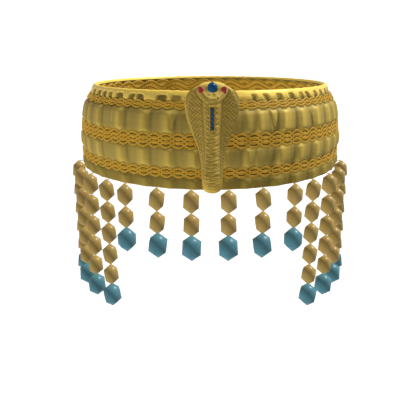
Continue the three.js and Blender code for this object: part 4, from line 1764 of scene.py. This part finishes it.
class StringTree(PieceTree):
    """A node tree that sets beads under one another, with or without the thread that they hang from."""

    NAME = "bead string"
    INPUTS = {
        "Bead": "Object",
        "Count": "Int",
        "Pitch": "Float",
        "First": "Vector",
        "Turn": "Float",
        "Threaded": "Bool",
        "Thread Start": "Vector",
        "Thread Bend": "Vector",
        "Thread End": "Vector",
        "Thread Radius": "Float",
        "Material": "Material",
    }
    THREAD_STEPS = 14
    THREAD_SIDES = 10

    def shape(self, graph: Graph, given: Value) -> Value:
        """Adds the nodes: a line of points with a bead on each, and the thread."""
        down = graph.vector(0.0, 0.0, -1 * given.output("Pitch"))
        spots = {"Count": given.output("Count"), "Start Location": given.output("First"), "Offset": down}
        line = graph.node("GeometryNodeMeshLine", {"mode": "OFFSET"}, spots)
        bead = graph.node("GeometryNodeObjectInfo", None, {"Object": given.output("Bead")}, "Geometry")
        turn = graph.vector(0.0, 0.0, given.output("Turn"))
        copies = {"Points": line, "Instance": bead, "Rotation": turn}
        beads = graph.node("GeometryNodeInstanceOnPoints", None, copies)
        course = {
            "Resolution": self.THREAD_STEPS,
            "Start": given.output("Thread Start"),
            "Middle": given.output("Thread Bend"),
            "End": given.output("Thread End"),
        }
        route = graph.node("GeometryNodeCurveQuadraticBezier", None, course)
        around = {"Resolution": self.THREAD_SIDES, "Radius": given.output("Thread Radius")}
        section = graph.node("GeometryNodeCurvePrimitiveCircle", None, around)
        sweep = {"Curve": route, "Profile Curve": section, "Fill Caps": True}
        thread = graph.node("GeometryNodeCurveToMesh", None, sweep)
        choice = {"Switch": given.output("Threaded"), "True": thread}
        chosen = graph.node("GeometryNodeSwitch", {"input_type": "GEOMETRY"}, choice)
        joined = graph.node("GeometryNodeJoinGeometry", None, {"Geometry": beads})
        graph.feed(joined.socket.node.inputs["Geometry"], chosen)
        return joined


def trim(mesh: bpy.types.Mesh, low: float, high: float) -> None:
    """Flattens what lies below or above two heights, in millimetres."""
    points = np.empty(len(mesh.vertices) * 3, np.float32)
    mesh.vertices.foreach_get("co", points)
    points = points.reshape(-1, 3)
    points[:, 2] = np.clip(points[:, 2], low * MM, high * MM)
    mesh.vertices.foreach_set("co", points.ravel())
    mesh.update()


def use_soft_normals(mesh: bpy.types.Mesh, turn: float) -> None:
    """Uses the stored normals of the beads, turned with them, and leaves the thread its own."""
    count = len(mesh.vertices)
    stored, own = np.empty(count * 3, np.float32), np.empty(count * 3, np.float32)
    mesh.attributes["soft"].data.foreach_get("vector", stored)
    mesh.vertices.foreach_get("normal", own)
    x, y, z = stored.reshape(-1, 3).T
    turned = np.column_stack(
        [x * math.cos(turn) - y * math.sin(turn), x * math.sin(turn) + y * math.cos(turn), z]
    )
    bare = np.linalg.norm(turned, axis=1) < NO_NORMAL
    turned[bare] = own.reshape(-1, 3)[bare]
    turned /= np.linalg.norm(turned, axis=1, keepdims=True)
    mesh.attributes.remove(mesh.attributes["soft"])
    mesh.normals_split_custom_set_from_vertices(turned.tolist())


@dataclass
class BeadStrings:
    """The strings of gold beads, each with a turquoise drop, that hang from the band's lower edge."""

    oval: Oval
    band: Band
    angles: tuple[float, ...] = (6.36, 18.63, 31.69, 41.22, 52.75, 64.31, 77.46)
    short_strings: int = 3
    short_beads: int = 2
    long_beads: int = 5
    out: float = 4.7
    top: float = 0.65
    hang_height: float = 0.5
    thread_radius: float = 0.25
    thread_tuck: float = 1.2
    fold_share: float = 0.8
    gap: float = 0.3
    pitch: float = 13.42
    drop_rise: float = 1.1
    gold: FacetedBead = FacetedBead(radius=4.6, height=14.2, tip=6.75)
    drop: FacetedBead = FacetedBead(radius=5.6, height=15.7, tip=7.85)

    def cloth_at(self, degrees: float) -> float:
        """How far the cloth stands outside the oval where a string hangs from it."""
        height = np.array([[self.hang_height]])
        lift = float(self.band.fold_lift(np.array([[degrees]]), height)[0, 0])
        return self.band.outside_at(self.hang_height) + self.fold_share * lift + self.gap

    def hang(
        self,
        tree: StringTree,
        label: str,
        degrees: float,
        beads: int,
        models: Sequence[bpy.types.Object],
        materials: Sequence[bpy.types.Material],
    ) -> None:
        """Makes and dresses one string.

        Args:
            tree: the node tree that sets beads.
            label: the side and number in the string's name.
            degrees: where it hangs, from the brow.
            beads: how many gold beads it has.
            models: the gold bead and the drop.
            materials: the finishes of those two.
        """
        angle = math.radians(degrees)
        x, y, _ = self.oval.point(angle, self.out, 0.0)
        turn = math.atan2(-x, y)
        cloth = self.oval.point(angle, self.cloth_at(degrees), self.hang_height)
        last = self.top - beads * self.pitch
        meeting = last + self.drop_rise / 2
        shared = {
            "Pitch": self.pitch * MM,
            "Turn": turn,
            "Thread Start": (x * MM, y * MM, (self.top - self.thread_tuck) * MM),
            "Thread Bend": (x * MM, y * MM, self.hang_height * MM),
            "Thread End": tuple(cloth * MM),
            "Thread Radius": self.thread_radius * MM,
        }
        middles = (self.top - self.pitch / 2, last + self.drop_rise - self.drop.height / 2)
        limits = ((meeting + self.gap / 2, math.inf), (-math.inf, meeting - self.gap / 2))
        kinds = (("gold_string", Slot.GOLD_BEAD, beads), ("drop", Slot.TURQUOISE, 1))
        for place, (kind, slot, count) in enumerate(kinds):
            sizes = {
                **shared,
                "Bead": models[place],
                "Count": count,
                "First": (x * MM, y * MM, middles[place] * MM),
                "Threaded": place == 0,
                "Material": materials[place],
            }
            piece = tree.make(f"beads_{kind}_{label}", sizes)
            trim(piece.data, *limits[place])
            use_soft_normals(piece.data, turn)
            dress(piece, materials[place], slot, f"{kind}_{label}")

    def build(self, gold: Bead, turquoise: Bead) -> None:
        """Makes and dresses every string."""
        tree = StringTree()
        models = [self.gold.build("gold bead model"), self.drop.build("drop model")]
        materials = [gold.build(), turquoise.build()]
        for place, degrees in enumerate(self.angles):
            beads = self.short_beads if place < self.short_strings else self.long_beads
            for side in Side:
                self.hang(tree, f"{side.label}_{place + 1}", side.value * degrees, beads, models, materials)
        for model in models:
            bpy.data.objects.remove(model)


# The studio


@dataclass(frozen=True)
class SoftLight:
    """A wide soft light without shadows: the way to it, its strength and its spread in degrees."""

    name: str
    toward: tuple[float, float, float]
    strength: float
    spread: float
    glossy: bool = True

    def build(self) -> None:
        """Hangs the light."""
        light = bpy.data.lights.new(self.name, "SUN")
        light.energy = self.strength
        light.angle = math.radians(self.spread)
        light.use_shadow = False
        lamp = bpy.data.objects.new(self.name, light)
        lamp.visible_glossy = self.glossy
        lamp.location = self.toward
        lamp.rotation_euler = Vector(self.toward).to_track_quat("Z", "Y").to_euler()
        bpy.context.scene.collection.objects.link(lamp)


@dataclass
class Studio:
    """The camera, the pale floor, the lights and the white surroundings."""

    camera_place: tuple[float, float, float] = (0.0, -0.38973, 0.07296)
    camera_pitch: float = 73.572
    sensor: float = 36.0
    lens: float = 46.289
    near_clip: float = 0.01
    floor_height: float = -1.0
    floor_half: float = 200.0
    surroundings: float = 0.45
    seen_white: float = 1.2
    lights: tuple[SoftLight, ...] = (
        SoftLight("key", (0.547, 0.237, 0.803), 3.8, 6.0),
        SoftLight("fill", (-0.58, -0.2, -0.79), 2.62, 10.0, glossy=False),
    )

    def add_camera(self) -> None:
        """Sets the camera that the picture is taken with."""
        data = bpy.data.cameras.new("camera")
        data.sensor_width = self.sensor
        data.lens = self.lens
        data.clip_start = self.near_clip
        camera = bpy.data.objects.new("camera", data)
        camera.location = self.camera_place
        camera.rotation_euler = (math.radians(self.camera_pitch), 0.0, 0.0)
        bpy.context.scene.collection.objects.link(camera)
        bpy.context.scene.camera = camera

    def add_floor(self) -> None:
        """Lays the floor."""
        half, level = self.floor_half / MM, self.floor_height / MM
        signs = ((-1, -1), (1, -1), (1, 1), (-1, 1))
        corners = np.array([(x * half, y * half, level) for x, y in signs])
        floor = add_object("floor", mesh_from("floor", corners, [(0, 1, 2, 3)]))
        floor.data.materials.append(PaleFloor().build())
        floor.visible_diffuse = False
        floor.visible_glossy = False

    def add_surroundings(self) -> None:
        """Surrounds the scene with white that is brighter to look at than its light."""
        world = bpy.data.worlds.new("white surroundings")
        world.use_nodes = True
        bpy.context.scene.world = world
        graph = Graph(world.node_tree)
        seen = graph.node("ShaderNodeLightPath", None, None, "Is Camera Ray")
        strength = seen * (self.seen_white - self.surroundings) + self.surroundings
        background = next(node for node in world.node_tree.nodes if node.type == "BACKGROUND")
        background.inputs["Color"].default_value = (1.0, 1.0, 1.0, 1.0)
        graph.feed(background.inputs["Strength"], strength)

    def build(self) -> None:
        """Sets up the studio."""
        self.add_camera()
        self.add_floor()
        self.add_surroundings()
        for light in self.lights:
            light.build()
        bpy.context.scene.view_settings.view_transform = "Standard"


def main() -> None:
    """Builds the headdress piece by piece, then the studio round it."""
    logging.basicConfig(level=logging.INFO, format="%(name)s: %(message)s")
    oval = Oval()
    band = Band(oval)
    band.dress(band.build(BRAIDS), GoldCloth())
    plait = PlaitTree()
    # The inner braid gets a darker copy of the cord colours: painted shade for the inside of the band.
    shaded_cord = BraidCord(light=srgb(190, 149, 51), dark=srgb(150, 115, 38))
    cords = {Face.OUTSIDE: BraidCord().build(), Face.INSIDE: shaded_cord.build()}
    for braid in BRAIDS:
        braid.build(plait, band, cords[braid.face])
    cobra = Cobra(CobraFrame(offset=1.2, back=102.75), band)
    cobra.build(
        CastGold(),
        Stone("blue stone", srgb(0, 58, 94), srgb(0, 78, 120)),
        Stone("red stone", srgb(136, 38, 46), srgb(176, 52, 62)),
    )
    BeadStrings(oval, band).build(
        Bead("gold bead", srgb(170, 143, 79), srgb(164, 137, 75)),
        Bead("turquoise bead", srgb(81, 132, 145), srgb(77, 127, 139)),
    )
    Studio().build()
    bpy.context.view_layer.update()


if __name__ == "__main__":
    main()
